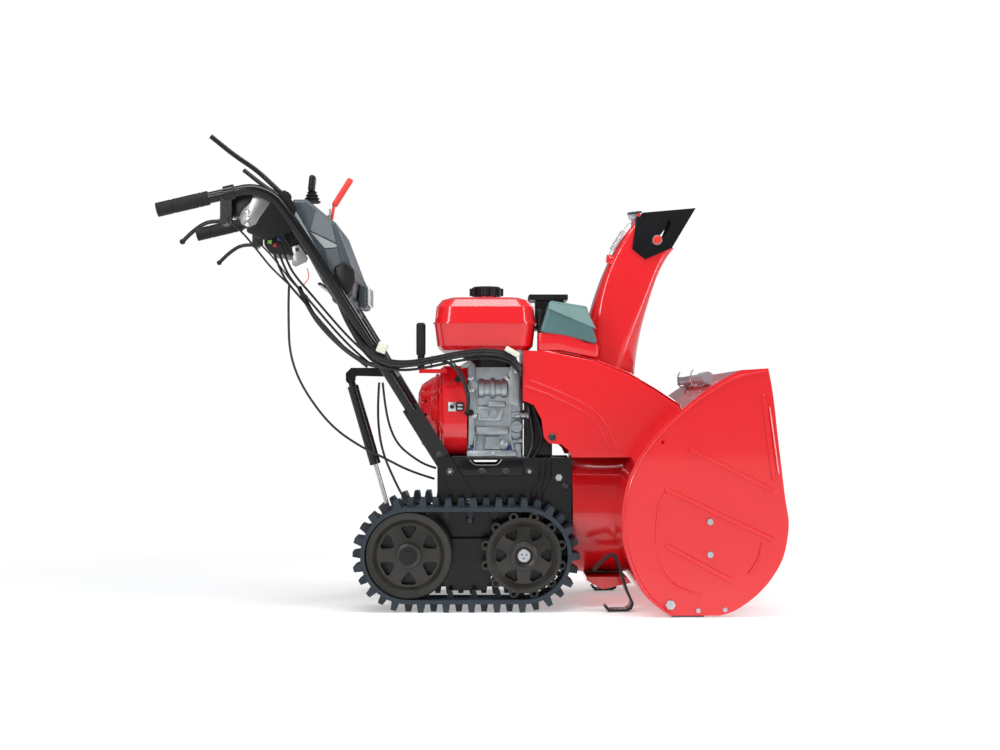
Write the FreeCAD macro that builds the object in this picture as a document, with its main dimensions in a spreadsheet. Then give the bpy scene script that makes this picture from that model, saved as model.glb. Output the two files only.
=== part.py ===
import FreeCAD, Part
import math
import os
import re
import Sketcher

# Two-stage, track-driven snow blower.  +X is forward, +Y is the machine's left, +Z is up,
# the tracks stand on z = 0.  Every size below is in millimetres.
V = FreeCAD.Vector
doc = FreeCAD.newDocument("snow_blower")
sheet = doc.addObject("Spreadsheet::Sheet", "sizes")

SIZES = (
    ("clearing_width", 724), ("handle_reach", 760), ("sheet_steel", 3), ("frame_half", 125),
    ("frame_plate", 4), ("deck_top", 372), ("track_centre", 204), ("track_wide", 122),
    ("belt_thick", 10), ("lug_high", 20), ("lug_count", 42), ("wheel_radius", 106.7),
    ("wheel_gap", 0.3), ("sprocket_x", 130.6), ("idler_x", -150.6), ("axle_radius", 12),
    ("drive_radius", 14), ("running_gap", 0.05), ("crank_z", 480), ("crank_radius", 12.5), ("impeller_z", 231),
    ("impeller_shaft", 10), ("impeller_tip", 146), ("drum_radius", 152), ("auger_x", 570),
    ("auger_z", 188), ("auger_shaft", 12.5), ("auger_radius", 164), ("ribbon_wide", 46),
    ("ribbon_pitch", 300), ("chute_x", 348), ("cover_half", 190),
    ("handle_tube", 14), ("grip_radius", 17.5), ("strut_radius", 14),
    ("strut_rod_radius", 5.5), ("shear_bar_radius", 4.5), ("console_half", 206),
    ("belt_section", 9), ("flight_sheet", 4), ("lever_rod", 6),
)
NAMES = set(name for name, amount in SIZES)
for row, (name, amount) in enumerate(SIZES, 1):
    sheet.set("A%d" % row, name)
    sheet.set("B%d" % row, str(amount))
    sheet.setAlias("B%d" % row, name)
doc.recompute()
NODES = []


def link(text):
    """Write a size expression with the sheet's name in front of each alias."""
    return re.sub(r"[a-z][a-z_0-9]*",
                  lambda m: "sizes." + m.group(0) if m.group(0) in NAMES else m.group(0), text)


def num(amount):
    """The present value of a number or of a size expression."""
    if isinstance(amount, str):
        return float(sheet.evalExpression(link(amount)))
    return float(amount)


def bind(thing, prop, amount):
    if isinstance(amount, str):
        thing.setExpression(prop, link(amount))
    else:
        setattr(thing, prop, amount)


def put(thing, at, axis=(0, 0, 1), turn=None):
    """Place a thing; each coordinate may be a size expression."""
    rotation = turn or FreeCAD.Rotation(V(0, 0, 1), V(*axis))
    thing.Placement = FreeCAD.Placement(V(*[num(c) for c in at]), rotation)
    for key, amount in zip("xyz", at):
        if isinstance(amount, str):
            thing.setExpression(".Placement.Base." + key, link(amount))
    return thing


def block(low, high):
    thing = doc.addObject("Part::Box", "block")
    for prop, a, b in zip(("Length", "Width", "Height"), low, high):
        bind(thing, prop, "(%s) - (%s)" % (b, a))
    return put(thing, low)


def rod(at, axis, radius, length):
    thing = doc.addObject("Part::Cylinder", "rod")
    bind(thing, "Radius", radius)
    bind(thing, "Height", length)
    return put(thing, at, axis)


def cone(at, axis, radius, end_radius, length):
    thing = doc.addObject("Part::Cone", "cone")
    bind(thing, "Radius1", radius)
    bind(thing, "Radius2", end_radius)
    bind(thing, "Height", length)
    return put(thing, at, axis)


def ball(at, radius):
    thing = doc.addObject("Part::Sphere", "ball")
    bind(thing, "Radius", radius)
    return put(thing, at)


def hoop(at, axis, radius, thickness):
    thing = doc.addObject("Part::Torus", "hoop")
    bind(thing, "Radius1", radius)
    bind(thing, "Radius2", thickness)
    return put(thing, at, axis)


def joined(things):
    if len(things) == 1:
        return things[0]
    thing = doc.addObject("Part::MultiFuse", "joined")
    thing.Shapes = things
    return thing


def less(base, tools):
    thing = doc.addObject("Part::Cut", "less")
    thing.Base = base
    thing.Tool = joined(tools)
    return thing


def shared(first, second):
    thing = doc.addObject("Part::Common", "shared")
    thing.Base = first
    thing.Tool = second
    return thing


def grouped(things):
    thing = doc.addObject("Part::Compound", "grouped")
    thing.Links = things
    return thing


def mirror(thing):
    """The same part for the other side of the machine."""
    copy = doc.addObject("Part::Mirroring", "mirror")
    copy.Source = thing
    copy.Normal = V(0, 1, 0)
    return copy


def sketch_in(body, plane, points, circles=()):
    """A closed outline of straight lines; every corner is held by two bound distances."""
    sketch = body.newObject("Sketcher::SketchObject", "outline")
    origin = [item for item in body.Origin.OriginFeatures if item.Role == plane + "_Plane"][0]
    sketch.AttachmentSupport = [(origin, "")]
    sketch.MapMode = "FlatFace"
    count = len(points)
    flat = [(num(a), num(b)) for a, b in points]
    for i in range(count):
        a, b = flat[i], flat[(i + 1) % count]
        sketch.addGeometry(Part.LineSegment(V(a[0], a[1], 0), V(b[0], b[1], 0)), False)
    for i in range(count):
        sketch.addConstraint(Sketcher.Constraint("Coincident", i, 2, (i + 1) % count, 1))
        pin_down(sketch, i, 1, points[i])
    for a, b, radius in circles:
        g = sketch.addGeometry(Part.Circle(V(num(a), num(b), 0), V(0, 0, 1), num(radius)), False)
        pin_down(sketch, g, 3, (a, b))
        index = sketch.addConstraint(Sketcher.Constraint("Radius", g, num(radius)))
        if isinstance(radius, str):
            sketch.setExpression("Constraints[%d]" % index, link(radius))
    return sketch


def pin_down(sketch, geometry, end, point):
    for kind, amount, axis in (("DistanceX", point[0], -2), ("DistanceY", point[1], -1)):
        if abs(num(amount)) < 1e-6:
            sketch.addConstraint(Sketcher.Constraint("PointOnObject", geometry, end, axis))
            continue
        rule = Sketcher.Constraint(kind, -1, 1, geometry, end, num(amount))
        index = sketch.addConstraint(rule)
        if isinstance(amount, str):
            sketch.setExpression("Constraints[%d]" % index, link(amount))


def plate(plane, points, thickness, at=(0, 0, 0), circles=(), soften=0, axis=None, turn=None):
    """A flat part of an outline in the XZ, XY or YZ plane, half its thickness each way."""
    body = doc.addObject("PartDesign::Body", "plate")
    sketch = sketch_in(body, plane, points, circles)
    pad = body.newObject("PartDesign::Pad", "pad")
    pad.Profile = sketch
    bind(pad, "Length", thickness)
    pad.Midplane = True
    sketch.Visibility = False
    if soften:
        doc.recompute()
        spans = {"XZ": V(0, 1, 0), "XY": V(0, 0, 1), "YZ": V(1, 0, 0)}[plane]
        edges = []
        for i, edge in enumerate(pad.Shape.Edges, 1):
            if len(edge.Vertexes) == 2 and edge.Curve.TypeId == "Part::GeomLine":
                if abs(edge.tangentAt(edge.FirstParameter).dot(spans)) > 0.99:
                    edges.append("Edge%d" % i)
        fillet = body.newObject("PartDesign::Fillet", "soften")
        fillet.Base = (pad, edges)
        bind(fillet, "Radius", soften)
    return put(body, at, axis or (0, 0, 1), turn)


def spun(points, at, axis, flip=False):
    """A turned part: outline of (radius, distance along), turned about its own axis."""
    body = doc.addObject("PartDesign::Body", "spun")
    sketch = sketch_in(body, "XZ", points)
    turned = body.newObject("PartDesign::Revolution", "turned")
    turned.Profile = sketch
    turned.ReferenceAxis = (sketch, ["V_Axis"])
    turned.Angle = 360
    sketch.Visibility = False
    return put(body, at, axis)


def shaped(shape, at=(0, 0, 0)):
    """A part whose surface is swept or lofted from sizes in the sheet."""
    thing = doc.addObject("Part::Feature", "shaped")
    where = shape.Placement.toMatrix()
    shape = shape.copy()
    shape.Placement = FreeCAD.Placement()
    thing.Shape = shape.transformed(where, True)
    return put(thing, at)


def route(points):
    """Straight runs joined by tangent arcs, each as wide as its shorter run allows."""
    spots = [V(*[num(c) for c in p]) for p in points]
    edges, last = [], spots[0]
    for a, b, c in zip(spots, spots[1:], spots[2:]):
        into, out = (b - a).normalize(), (c - b).normalize()
        half = into.getAngle(out) / 2
        if half < 1e-3:
            continue
        reach = 0.45 * min((b - a).Length, (c - b).Length)
        start, end = b - into * reach, b + out * reach
        radius = reach / math.tan(half)
        middle_way = (out - into).normalize()
        middle = b + middle_way * (math.hypot(radius, reach) - radius)
        edges.append(Part.LineSegment(last, start).toShape())
        edges.append(Part.Arc(start, middle, end).toShape())
        last = end
    edges.append(Part.LineSegment(last, spots[-1]).toShape())
    return Part.Wire(edges)


def bent(points, radius):
    """A round bar or cable along a route."""
    spine = route(points)
    first, second = V(*[num(c) for c in points[0]]), V(*[num(c) for c in points[1]])
    ring = Part.Wire(Part.makeCircle(num(radius), first, second - first))
    return shaped(spine.makePipeShell([ring], True, False))


def rounded(wide, tall, corner, place):
    """A rounded rectangle wire about the origin of a placement."""
    w, t, c = wide / 2.0, tall / 2.0, min(corner, wide / 2.0 - 0.05, tall / 2.0 - 0.05)
    edges = []
    for k, (x, y) in enumerate(((w - c, t - c), (c - w, t - c), (c - w, c - t), (w - c, c - t))):
        edges.append(Part.makeCircle(c, V(x, y, 0), V(0, 0, 1), 90 * k, 90 * k + 90))
    corners = [e.Vertexes for e in edges]
    lines = []
    for k in range(4):
        a, b = corners[k][-1].Point, corners[(k + 1) % 4][0].Point
        lines += [edges[k], Part.LineSegment(a, b).toShape()]
    wire = Part.Wire(lines)
    wire.Placement = place
    return wire


def tapered(sections, ruled=False):
    """A solid through rounded rectangles: (centre, wide along Y, other way, corner, tilt)."""
    wires = []
    for centre, wide, tall, corner, tilt in sections:
        turn = FreeCAD.Rotation(V(0, 1, 0), tilt) * FreeCAD.Rotation(V(0, 0, 1), 90)
        wires.append(rounded(wide, tall, corner, FreeCAD.Placement(V(*centre), turn)))
    return Part.makeLoft(wires, True, ruled)


def softened(shape, radius, pick):
    """Round the edges that a rule picks; a few refuse a radius and are left sharp."""
    edges = [edge for edge in shape.Edges if pick(edge)]
    try:
        done = shape.makeFillet(radius, edges)
        return done if done.isValid() and done.Solids else shape
    except Exception:
        return shape


def bolt(at, axis, radius, length, head=None):
    """A hexagon-headed bolt; its head sits at the start and its shank runs along the axis."""
    head = head or 1.7 * radius
    hexagon = doc.addObject("Part::Prism", "head")
    hexagon.Polygon = 6
    hexagon.Circumradius = head
    hexagon.Height = 0.7 * radius + 2
    step = V(*axis).normalize() * -(0.7 * radius + 2)
    spot = V(*[num(c) for c in at]) + step
    put(hexagon, (spot.x, spot.y, spot.z), axis)
    return joined([hexagon, rod(at, axis, radius, length)])


def node(thing, label):
    thing.Label = label
    NODES.append(thing)
    return thing


def both(thing):
    return grouped([thing, mirror(thing)])


# ---------------------------------------------------------------- frame
# Two folded side plates carry the sprocket shafts; the handle bars bolt on outside.
side = plate("XZ", ((-84, "deck_top - 6"), (-84, 210), (-40, 100), (70, 84), (190, 84),
                    (254, 120), (254, "deck_top - 6"), (78, "deck_top - 6"),
                    (66, "deck_top - 18"), (10, "deck_top - 18"), (-2, "deck_top - 6")),
             "frame_plate", (0, "frame_plate/2 - frame_half", 0),
             [("sprocket_x", 137, "drive_radius + running_gap")]
             + [(x, 337, 4.8) for x in (28, 88, 148)] + [(240, 300, 4.3), (222, 322, 5.3),
                                                         (-52, 337, 5.3), (-4, 261, 5.3)], 5)
beads = [shaped(route(((x, -125.2, 372 - 12), (x, -125.2, 372 - 50), (x - 22, -125.2, 372 - 85),
                       (x - 22, -125.2, 372 - 110))).makePipeShell(
    [Part.Wire(Part.makeCircle(3, V(x, -125.2, 360), V(0, 0, -1)))], True, False))
    for x in (174, 188, 202)]
side_pair = both(joined([side] + beads))
rear_wall = block((-84, "frame_plate - frame_half", 215), (-80, "frame_half - frame_plate", 366))
front_wall = less(block((250, "frame_plate - frame_half", 90),
                        (254, "frame_half - frame_plate", 366)),
                  [rod((240, 0, "impeller_z"), (1, 0, 0), 16, 30)])
deck = less(block((-84, "-frame_half", "deck_top - 6"), (254, "frame_half", "deck_top")),
            [block((140, -112, 350), (208, 112, 380)), block((212, -60, 350), (256, 60, 380))])
tensioner_pin = rod((190, 111, 324), (1, 0, 0), 6, 60)
node(grouped([side_pair, rear_wall, joined([front_wall, tensioner_pin]), deck]), "main_frame")
case = joined([block((20, -90, 96), (138, 90, 250)), rod((20, 0, 290), (1, 0, 0), 48, 118),
               block((40, -40, 240), (120, 40, 330)),
               rod(("sprocket_x", -90, 137), (0, 1, 0), 24, 180)])
case = less(case, [rod(("sprocket_x", -100, 137), (0, 1, 0), "drive_radius + running_gap", 200),
                   block((27, -83, 103), (131, 83, 243)), rod((27, 0, 290), (1, 0, 0), 41, 104),
                   rod((110, 0, 290), (1, 0, 0), 20, 40)])
node(case, "transmission_case")

# ---------------------------------------------------------------- engine
# Die-cast crankcase with its foot, a fan housing behind it and the tank on top.
foot = block((-9, -112, "deck_top"), (127, 112, "deck_top + 14"))
casting = plate("XY", ((-9, -110), (132, -110), (132, 110), (-9, 110)), 222,
                (0, 0, "deck_top + 117"), soften=9)
ribs = [block((x, -117, 392), (x + 5, -108, 560)) for x in (24, 98)]
ribs += [block((0, -116, z), (122, -108, z + 5)) for z in (430, 470)]
pads = [rod((116, -126, 450), (0, 1, 0), 12, 20), rod((84, -122, 406), (0, 1, 0), 11, 16),
        rod((60, -119, 490), (0, 1, 0), 22, 12), rod((10, -120, 553), (0, 1, 0), 10, 14),
        block((20, -121, 505), (96, -108, 530))]
crankcase = less(joined([foot, casting] + ribs + pads),
                 [block((-1, -100, 394), (124, 100, 590)),
                  rod((-30, 0, "crank_z"), (1, 0, 0), "crank_radius + running_gap", 180)])
barrel = [block((22, 112, 428), (112, 182, 552))]
fins = [block((12, 118 + 11 * k, 418), (122, 122 + 11 * k, 562)) for k in range(6)]
head = shaped(softened(Part.makeBox(96, 32, 118, V(19, 181, 431)), 8,
                       lambda e: e.CenterOfMass.y > 190))
cylinder = joined([block((14, 110, 420), (120, 118.5, 560)), head] + barrel + fins)
node(grouped([crankcase, cylinder]), "engine_block")


def drum_case(x0, x1, half, low, high, corner, shrink):
    """Pressed housing about the crank line, slightly smaller at its outer end."""
    middle = (low + high) / 2.0
    wires = []
    for x, s in ((x0, shrink), (x0 + 10, 0), (x1, 0)):
        turn = FreeCAD.Rotation(V(0, 1, 0), 90)
        wires.append(rounded(high - low - 2 * s, 2 * half - 2 * s, corner,
                             FreeCAD.Placement(V(x, 0, middle), turn)))
    return Part.makeLoft(wires, True, True)


fan_solid = drum_case(-78, -9.3, 128, 374, 606, 84, 7)
fan_hollow = drum_case(-74, -5, 124, 378, 602, 80, 0)
fan_case = shaped(fan_solid.cut(fan_hollow).cut(
    Part.makeCylinder(72, 20, V(-85, 0, num("crank_z")), V(1, 0, 0))))
recoil = spun(((0, 0), (58, 0), (78, 8), (96, 34), (104, 56.7), (100, 56.7), (92, 36),
               (75, 11), (56, 3.4), (0, 3.4)), (-135, 0, "crank_z"), (1, 0, 0))
vents = [rod((-128, 84 * math.cos(a), 480 + 84 * math.sin(a)), (1, 0, 0), 5, 40)
         for a in [math.radians(12 + 24 * k) for k in range(15)]]
slot = rod((-140, -52, 530), (1, 0, 0), 7, 30)
rope_guide = block((-130, -130, 585), (-60, -106, 595))
node(grouped([joined([fan_case, rope_guide]), less(recoil, vents + [slot])]), "fan_housing")
wheel = spun(((13, 0), (60, 0), (98, 14), (98, 34), (86, 34), (86, 20), (13, 20)),
             (-68, 0, "crank_z"), (1, 0, 0))
vanes = []
for k in range(12):
    fin = plate("XY", ((88, -1.5), (97, -1.5), (97, 1.5), (88, 1.5)), 12, (-60, 0, "crank_z"),
                turn=FreeCAD.Rotation(V(1, 0, 0), 30 * k) * FreeCAD.Rotation(V(0, 1, 0), 90))
    vanes.append(fin)
crank = joined([rod((-68, 0, "crank_z"), (1, 0, 0), "crank_radius", 260),
                rod((-68, 0, "crank_z"), (1, 0, 0), 13.2, 30)])

tank_low = tapered((((36, -35, 641.5), 262, 214, 40, 0), ((36, -35, 652), 290, 240, 44, 0),
                    ((36, -35, 707), 306, 252, 44, 0)), True)
tank_rim = Part.makeBox(260, 314, 4, V(-94, -192, 707))
tank_rim = softened(tank_rim, 46, lambda e: abs(e.tangentAt(0).z) > 0.9)
tank_high = tapered((((36, -35, 711), 306, 252, 44, 0), ((36, -35, 750), 298, 244, 44, 0),
                     ((36, -35, 768), 270, 216, 40, 0), ((36, -35, 775), 226, 172, 30, 0)), True)
tank = tank_low.fuse([tank_rim, tank_high])
tank = tank.fuse(Part.makeCylinder(27, 12, V(40, -60, 770)))
tank = tank.cut(Part.makeCylinder(21, 30, V(40, -60, 758)))
tank = tank.cut(tapered((((36, -35, 645), 252, 204, 37, 0), ((36, -35, 653), 284, 234, 41, 0),
                         ((36, -35, 711), 300, 246, 41, 0)), True))
tank = tank.cut(tapered((((36, -35, 711), 300, 246, 41, 0), ((36, -35, 750), 292, 238, 41, 0),
                         ((36, -35, 766), 262, 208, 38, 0)), True))
node(shaped(tank), "fuel_tank")
cap_ridges = [rod((40 + 39 * math.cos(a), -60 + 39 * math.sin(a), 784), (0, 0, 1), 4.5, 19)
              for a in [math.radians(36 * k) for k in range(10)]]
cap = joined([rod((40, -60, 783), (0, 0, 1), 38, 20), cone((40, -60, 803), (0, 0, 1), 38, 33, 4)]
             + cap_ridges)
node(joined([less(cap, [rod((40, -60, 782), (0, 0, 1), 29, 8)]),
             rod((40, -60, 765), (0, 0, 1), 20.5, 30)]), "fuel_cap")
muffler = shaped(softened(Part.makeBox(128, 68, 78, V(-6, 126, 592)), 14, lambda e: True).cut(
    [Part.makeBox(112, 52, 62, V(2, 134, 600)), Part.makeCylinder(6, 60, V(-30, 168, 640),
                                                                  V(1, 0, 0))]))
node(joined([muffler, rod((30, 150, 562), (0, 0, 1), 11, 31),
             less(rod((-22, 168, 640), (1, 0, 0), 9, 20),
                  [rod((-23, 168, 640), (1, 0, 0), 6, 30)])]), "muffler")
hood = shaped(softened(Part.Face(Part.makePolygon([V(x, -190, z) for x, z in (
    (172, 686), (197, 765), (289, 750), (318, 654), (240, 676), (172, 686))])).extrude(
        V(0, 82, 0)), 7, lambda e: True))
node(hood, "intake_cover")
cleaner = joined([rod((172, -60, 690), (1, 0, 0), 32, 60),
                  block((176, -88, 642), (240, 80, 700)), block((150, -40, 776), (250, 90, 790)),
                  block((168, -30, 700), (240, 80, 776))])
node(grouped([cleaner, joined([block((134, -104, 560), (176, -40, 618)), rod((132.3, -72, 590), (1, 0, 0), 18, 6),
                       rod((152, -92, 540), (0, 0, 1), 13, 26)])]), "carburettor_and_cleaner")
node(joined([rod((-125, -122, 596), (0, 0, 1), 9, 40),
             shaped(softened(Part.makeBox(23, 30, 84, V(-137, -137, 628)), 7,
                             lambda e: True))]), "starter_handle")
dip = joined([rod((116, -141, 450), (0, 1, 0), 13, 14), block((103, -147, 447), (129, -140, 453)),
              rod((116, -128, 450), (0, 1, 0), 6, 1.5)])
node(dip, "oil_filler_cap")

# ---------------------------------------------------------------- housing outline
# The sheet's edge: a straight top, a nearly straight front, a round toe, a flat foot, and a
# back that the wrapper sheet follows.
front_edge = ((710, 591), (724, 506), (733, 420), (743, 335), (752, 264), (757.5, 224),
              (755, 192), (750, 163), (741, 134), (726, 106), (705, 77), (677, 49), (648, 27),
              (612, 9), (590, 4))
back_edge = ((474, 4), (440, 28), (415, 52), (390, 96), (375, 135), (363, 180), (361, 219),
             (365, 280), (380, 337), (410, 393), (451, 444), (500, 489), (546, 527), (646, 587))


def smooth(points, y=0.0):
    """One smooth edge through a row of points."""
    curve = Part.BSplineCurve()
    curve.interpolate([V(p[0], y, p[1]) for p in points])
    return curve.toShape()


def straight(a, b, y=0.0):
    return Part.LineSegment(V(a[0], y, a[1]), V(b[0], y, b[1])).toShape()


def inward(points, amount):
    """The same row of points moved into the housing."""
    moved = []
    for i, p in enumerate(points):
        a, b = points[max(i - 1, 0)], points[min(i + 1, len(points) - 1)]
        way = V(b[0] - a[0], 0, b[1] - a[1]).normalize()
        moved.append((p[0] + way.z * amount, p[1] - way.x * amount))
    return moved


fill = Part.Face(Part.Wire([smooth(back_edge), straight(back_edge[-1], (900, 587)),
                            straight((900, 587), (900, 4)), straight((900, 4), back_edge[0])]))
fill.translate(V(0, -300, 0))
fill = fill.extrude(V(0, 600, 0))

# ---------------------------------------------------------------- belt cover
# One deep pressing over both belts and the drum, open below, with a hole for the chute.
cover_line = ((130, 640), (130, 516), (157, 504), (176, 469), (182, 424), (195, 409), (227, 406),
              (244, 391), (252, 374.5), (433, 374.5), (544, 492), (470, 542), (396, 586),
              (309, 621), (222, 638))


def cover_block(half, inset):
    middle = V(330, 0, 500)
    points = [V(x, -half, z) for x, z in cover_line]
    if inset:
        points = [V(p.x + (inset if p.x < 260 else -inset), -half,
                    p.z - inset if p.z > 480 else (300 if p.x > 245 and p.z < 380 else p.z + inset))
                  for p in points]
    return Part.Face(Part.makePolygon(points + [points[0]])).extrude(V(0, 2 * half, 0))


cover = cover_block(num("cover_half"), 0)
cover = softened(cover, 16, lambda e: abs(abs(e.CenterOfMass.y) - num("cover_half")) < 1
                 and e.CenterOfMass.z > 500 and e.CenterOfMass.x > 200)
inner = Part.Face(Part.makePolygon([V(x, -187, z) for x, z in (
    (133, 500), (133, 636), (221, 634), (307, 617), (394, 582), (467, 539), (530, 497),
    (433, 394), (433, 300), (249, 300), (249, 372), (241, 388), (226, 403), (193, 405),
    (179, 422), (173, 468), (155, 500), (133, 500))])).extrude(V(0, 374, 0))
inner = inner.common(Part.makeBox(500, 374, 400, V(100, -187, 300)))
crease = Part.makePolygon([V(131, -189, 548), V(160, -189, 538), V(300, -189, 475),
                           V(326, -189, 440), V(352, -189, 376)])
bead = Part.Wire(crease.Edges).makePipeShell(
    [Part.Wire(Part.makeCircle(5, V(131, -189, 548), V(1, 0, -0.4)))], True, True, 1)
cover = cover.cut(inner).cut(fill).cut(Part.makeCylinder(88, 300, V(num("chute_x"), 0, 450)))
back_gap = Part.makeBox(12, 330, 112, V(126, -165, 500))
node(shaped(cover.cut(back_gap)), "belt_cover")

# ---------------------------------------------------------------- snow drum and auger housing
half_in = num("clearing_width") / 2.0 - num("sheet_steel")
inner_edge = inward(back_edge, num("sheet_steel"))
band = Part.Face(Part.Wire([smooth(back_edge), straight(back_edge[-1], inner_edge[-1]),
                            smooth(inner_edge[::-1]), straight(inner_edge[0], back_edge[0])]))
band.translate(V(0, -half_in, 0))
band = band.extrude(V(0, 2 * half_in, 0))
drum_z, drum_r = num("impeller_z"), num("drum_radius")
band = band.cut(Part.makeCylinder(drum_r + 4.2, 300, V(250, 0, drum_z), V(1, 0, 0)))
node(shaped(band), "auger_housing")
drum = Part.makeCylinder(drum_r + 4, 180, V(256, 0, drum_z), V(1, 0, 0))
# The drum's back corners are pressed flat where the track lugs swing past.
lug_side = num("track_centre - track_wide/2") - 2
flats = [Part.makeBox(12, 40, 400, V(254, side, drum_z - 200)) for side in (lug_side - 4, -lug_side - 36)]
drum = drum.cut(Part.makeCylinder(drum_r, 180, V(260, 0, drum_z), V(1, 0, 0)).cut(flats))
lug_sweep = [Part.makeCylinder(139, 60, V(130.6, side, 137), V(0, 1, 0))
             for side in (lug_side, -lug_side - 60)]
drum = drum.cut(lug_sweep)
chute_x = num("chute_x")
collar = Part.makeCylinder(66, 105, V(chute_x, 0, drum_z + 100)).cut(
    Part.makeCylinder(62, 125, V(chute_x, 0, drum_z + 90)))
collar = collar.fuse(Part.makeCylinder(76, 4, V(chute_x, 0, 432)).cut(
    Part.makeCylinder(62, 95, V(chute_x, 0, 350))))
collar = collar.cut(Part.makeCylinder(drum_r + 1, 180, V(250, 0, drum_z), V(1, 0, 0)))
drum = drum.cut(Part.makeCylinder(62, 200, V(chute_x, 0, drum_z + 60))).cut(fill)
collar = collar.cut(Part.makeCylinder(drum_r + 4.05, 180, V(250, 0, drum_z), V(1, 0, 0))).cut(fill)
drum = drum.cut(Part.makeCylinder(num("impeller_shaft + running_gap"), 60,
                                  V(240, 0, drum_z), V(1, 0, 0)))
gusset = Part.Face(Part.makePolygon([V(x, -150, z) for x, z in (
    (290, 74.5), (392, 74.5), (402, 60), (330, 44), (290, 66), (290, 74.5))])).extrude(V(0, 300, 0))
node(grouped([shaped(drum), shaped(collar), shaped(gusset)]), "impeller_housing")

side_y = -num("clearing_width") / 2.0
side_sheet = Part.Face(Part.Wire([
    straight(back_edge[-1], front_edge[0], side_y), smooth(front_edge, side_y),
    straight(front_edge[-1], back_edge[0], side_y), smooth(back_edge, side_y)]))
side_sheet = side_sheet.extrude(V(0, num("sheet_steel"), 0))
side_holes = [(548, 512, num("shear_bar_radius")), (458, 415, num("shear_bar_radius")),
              (570, 226, 5.3), (570, 148.5, 5.3), (475, 30, 8.3), (541, 16, 4.3), (605, 18, 4.3)]
side_sheet = shaped(side_sheet.cut([Part.makeCylinder(r, 12, V(x, side_y - 4, z), V(0, 1, 0))
                                    for x, z, r in side_holes]))


def ridge(points, wide):
    """A pressed rib: a low, round-backed swelling on the outer face of the side sheet."""
    y = -num("clearing_width") / 2.0
    a, b = V(points[0][0], y, points[0][1]), V(points[1][0], y, points[1][1])
    rail = Part.Wire([Part.LineSegment(a, b).toShape()])
    bar = rail.makePipeShell([Part.Wire(Part.makeCircle(wide, a, b - a))], True, False)
    bar = bar.fuse([Part.makeSphere(wide, a), Part.makeSphere(wide, b)])
    return shaped(bar.common(Part.makeBox(2000, 5.2, 2000, V(-1000, y - 4.2, -500))))


ridges = [ridge(r, 6) for r in (((523, 400), (712, 304)), ((469, 168), (618, 88)),
                                ((468, 302), (718, 184)), ((700, 524), (722, 330)))]
node(both(joined([side_sheet] + ridges)), "side_plates")
bearing = spun((("auger_shaft + running_gap", 0), (47, 0), (47, 3), (21, 5), (21, 15),
                ("auger_shaft + running_gap", 15)),
               ("auger_x", "sheet_steel - clearing_width/2 + 0.0", "auger_z"), (0, 1, 0))
node(both(bearing), "auger_bearings")
scraper = block((478, "sheet_steel - clearing_width/2", 1),
                (556, "clearing_width/2 - sheet_steel", 7))
shoe_line = ((312, 102), (328, 121), (355, 143), (371, 139), (383, 103), (398, 54), (412, 22),
             (408, 8), (398, 2), (350, 1), (340, 12), (346, 16), (354, 6.5), (394, 7.5),
             (402, 12), (405, 24), (391, 54), (376, 101), (366, 132), (356, 136), (332, 116),
             (317, 98))
shoe = plate("XZ", shoe_line, 52, (-14, -236, 0))
node(grouped([both(shoe), scraper]), "skid_shoes_and_scraper")

side_bolts = [bolt((x, "-clearing_width/2", z), (0, 1, 0), 5, 2.9, 8)
              for x, z in ((570, 226), (570, 148.5))]
side_bolts += [bolt((475, "-clearing_width/2", 30), (0, 1, 0), 8, 2.9, 12),
               bolt((541, "-clearing_width/2", 16), (0, 1, 0), 4, 2.9, 6),
               bolt((605, "-clearing_width/2", 18), (0, 1, 0), 4, 2.9, 6)]
side_bolts = grouped(side_bolts + [mirror(b) for b in side_bolts])

# ---------------------------------------------------------------- auger
shaft = rod(("auger_x", "4 - clearing_width/2", "auger_z"), (0, 1, 0), "auger_shaft",
            "clearing_width - 8")
worm_wheel = rod(("auger_x", -11, "auger_z"), (0, 1, 0), 28, 22)
node(joined([shaft, worm_wheel]), "auger_shaft")


def flight(sign):
    """Two serrated ribbons on a hub tube, with flat spokes between them."""
    length = num("clearing_width") / 2.0 - 75
    outer, wide, pitch = num("auger_radius"), num("ribbon_wide"), num("ribbon_pitch")
    inner_r, thick = outer - wide, num("flight_sheet")
    parts = []
    for start in (0, 180):
        spine = Part.makeHelix(pitch, length - 20, outer, 0, sign < 0)
        spine = Part.Wire(spine.Edges)
        section = Part.makePolygon([V(inner_r, 0, -thick / 2), V(outer, 0, -thick / 2),
                                    V(outer, 0, thick / 2), V(inner_r, 0, thick / 2),
                                    V(inner_r, 0, -thick / 2)])
        ribbon = spine.makePipeShell([section], True, True)
        turns = (length - 20) / pitch
        notches = []
        for k in range(1, int(turns * 16)):
            angle = sign * 2 * math.pi * k / 16.0
            notch = Part.makeCylinder(10, 50, V((outer + 3) * math.cos(angle),
                                                (outer + 3) * math.sin(angle),
                                                pitch * k / 16.0 - 25))
            notches.append(notch)
        ribbon = ribbon.cut(notches)
        for k in (0.06, 0.5, 0.94):
            angle = sign * 360 * turns * k
            bar = Part.makeBox(inner_r + 14, 34, 5, V(0, -17, (length - 20) * k - 2.5))
            bar.rotate(V(0, 0, 0), V(0, 0, 1), angle)
            ribbon = ribbon.fuse(bar)
        ribbon.rotate(V(0, 0, 0), V(0, 0, 1), start)
        ribbon.translate(V(0, 0, 10))
        parts.append(ribbon)
    hub = Part.makeCylinder(18, length)
    whole = hub.fuse(parts).cut(Part.makeCylinder(num("auger_shaft"), length + 10, V(0, 0, -5)))
    whole.rotate(V(0, 0, 0), V(1, 0, 0), -90)
    if sign < 0:
        whole.rotate(V(0, 0, 0), V(0, 0, 1), 180)
    return whole


flights = []
for sign in (1, -1):
    body = flight(sign)
    body.translate(V(0, sign * 46.0, 0))
    flights.append(shaped(body, ("auger_x", 0, "auger_z")))
node(grouped(flights), "auger_flights")

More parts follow.
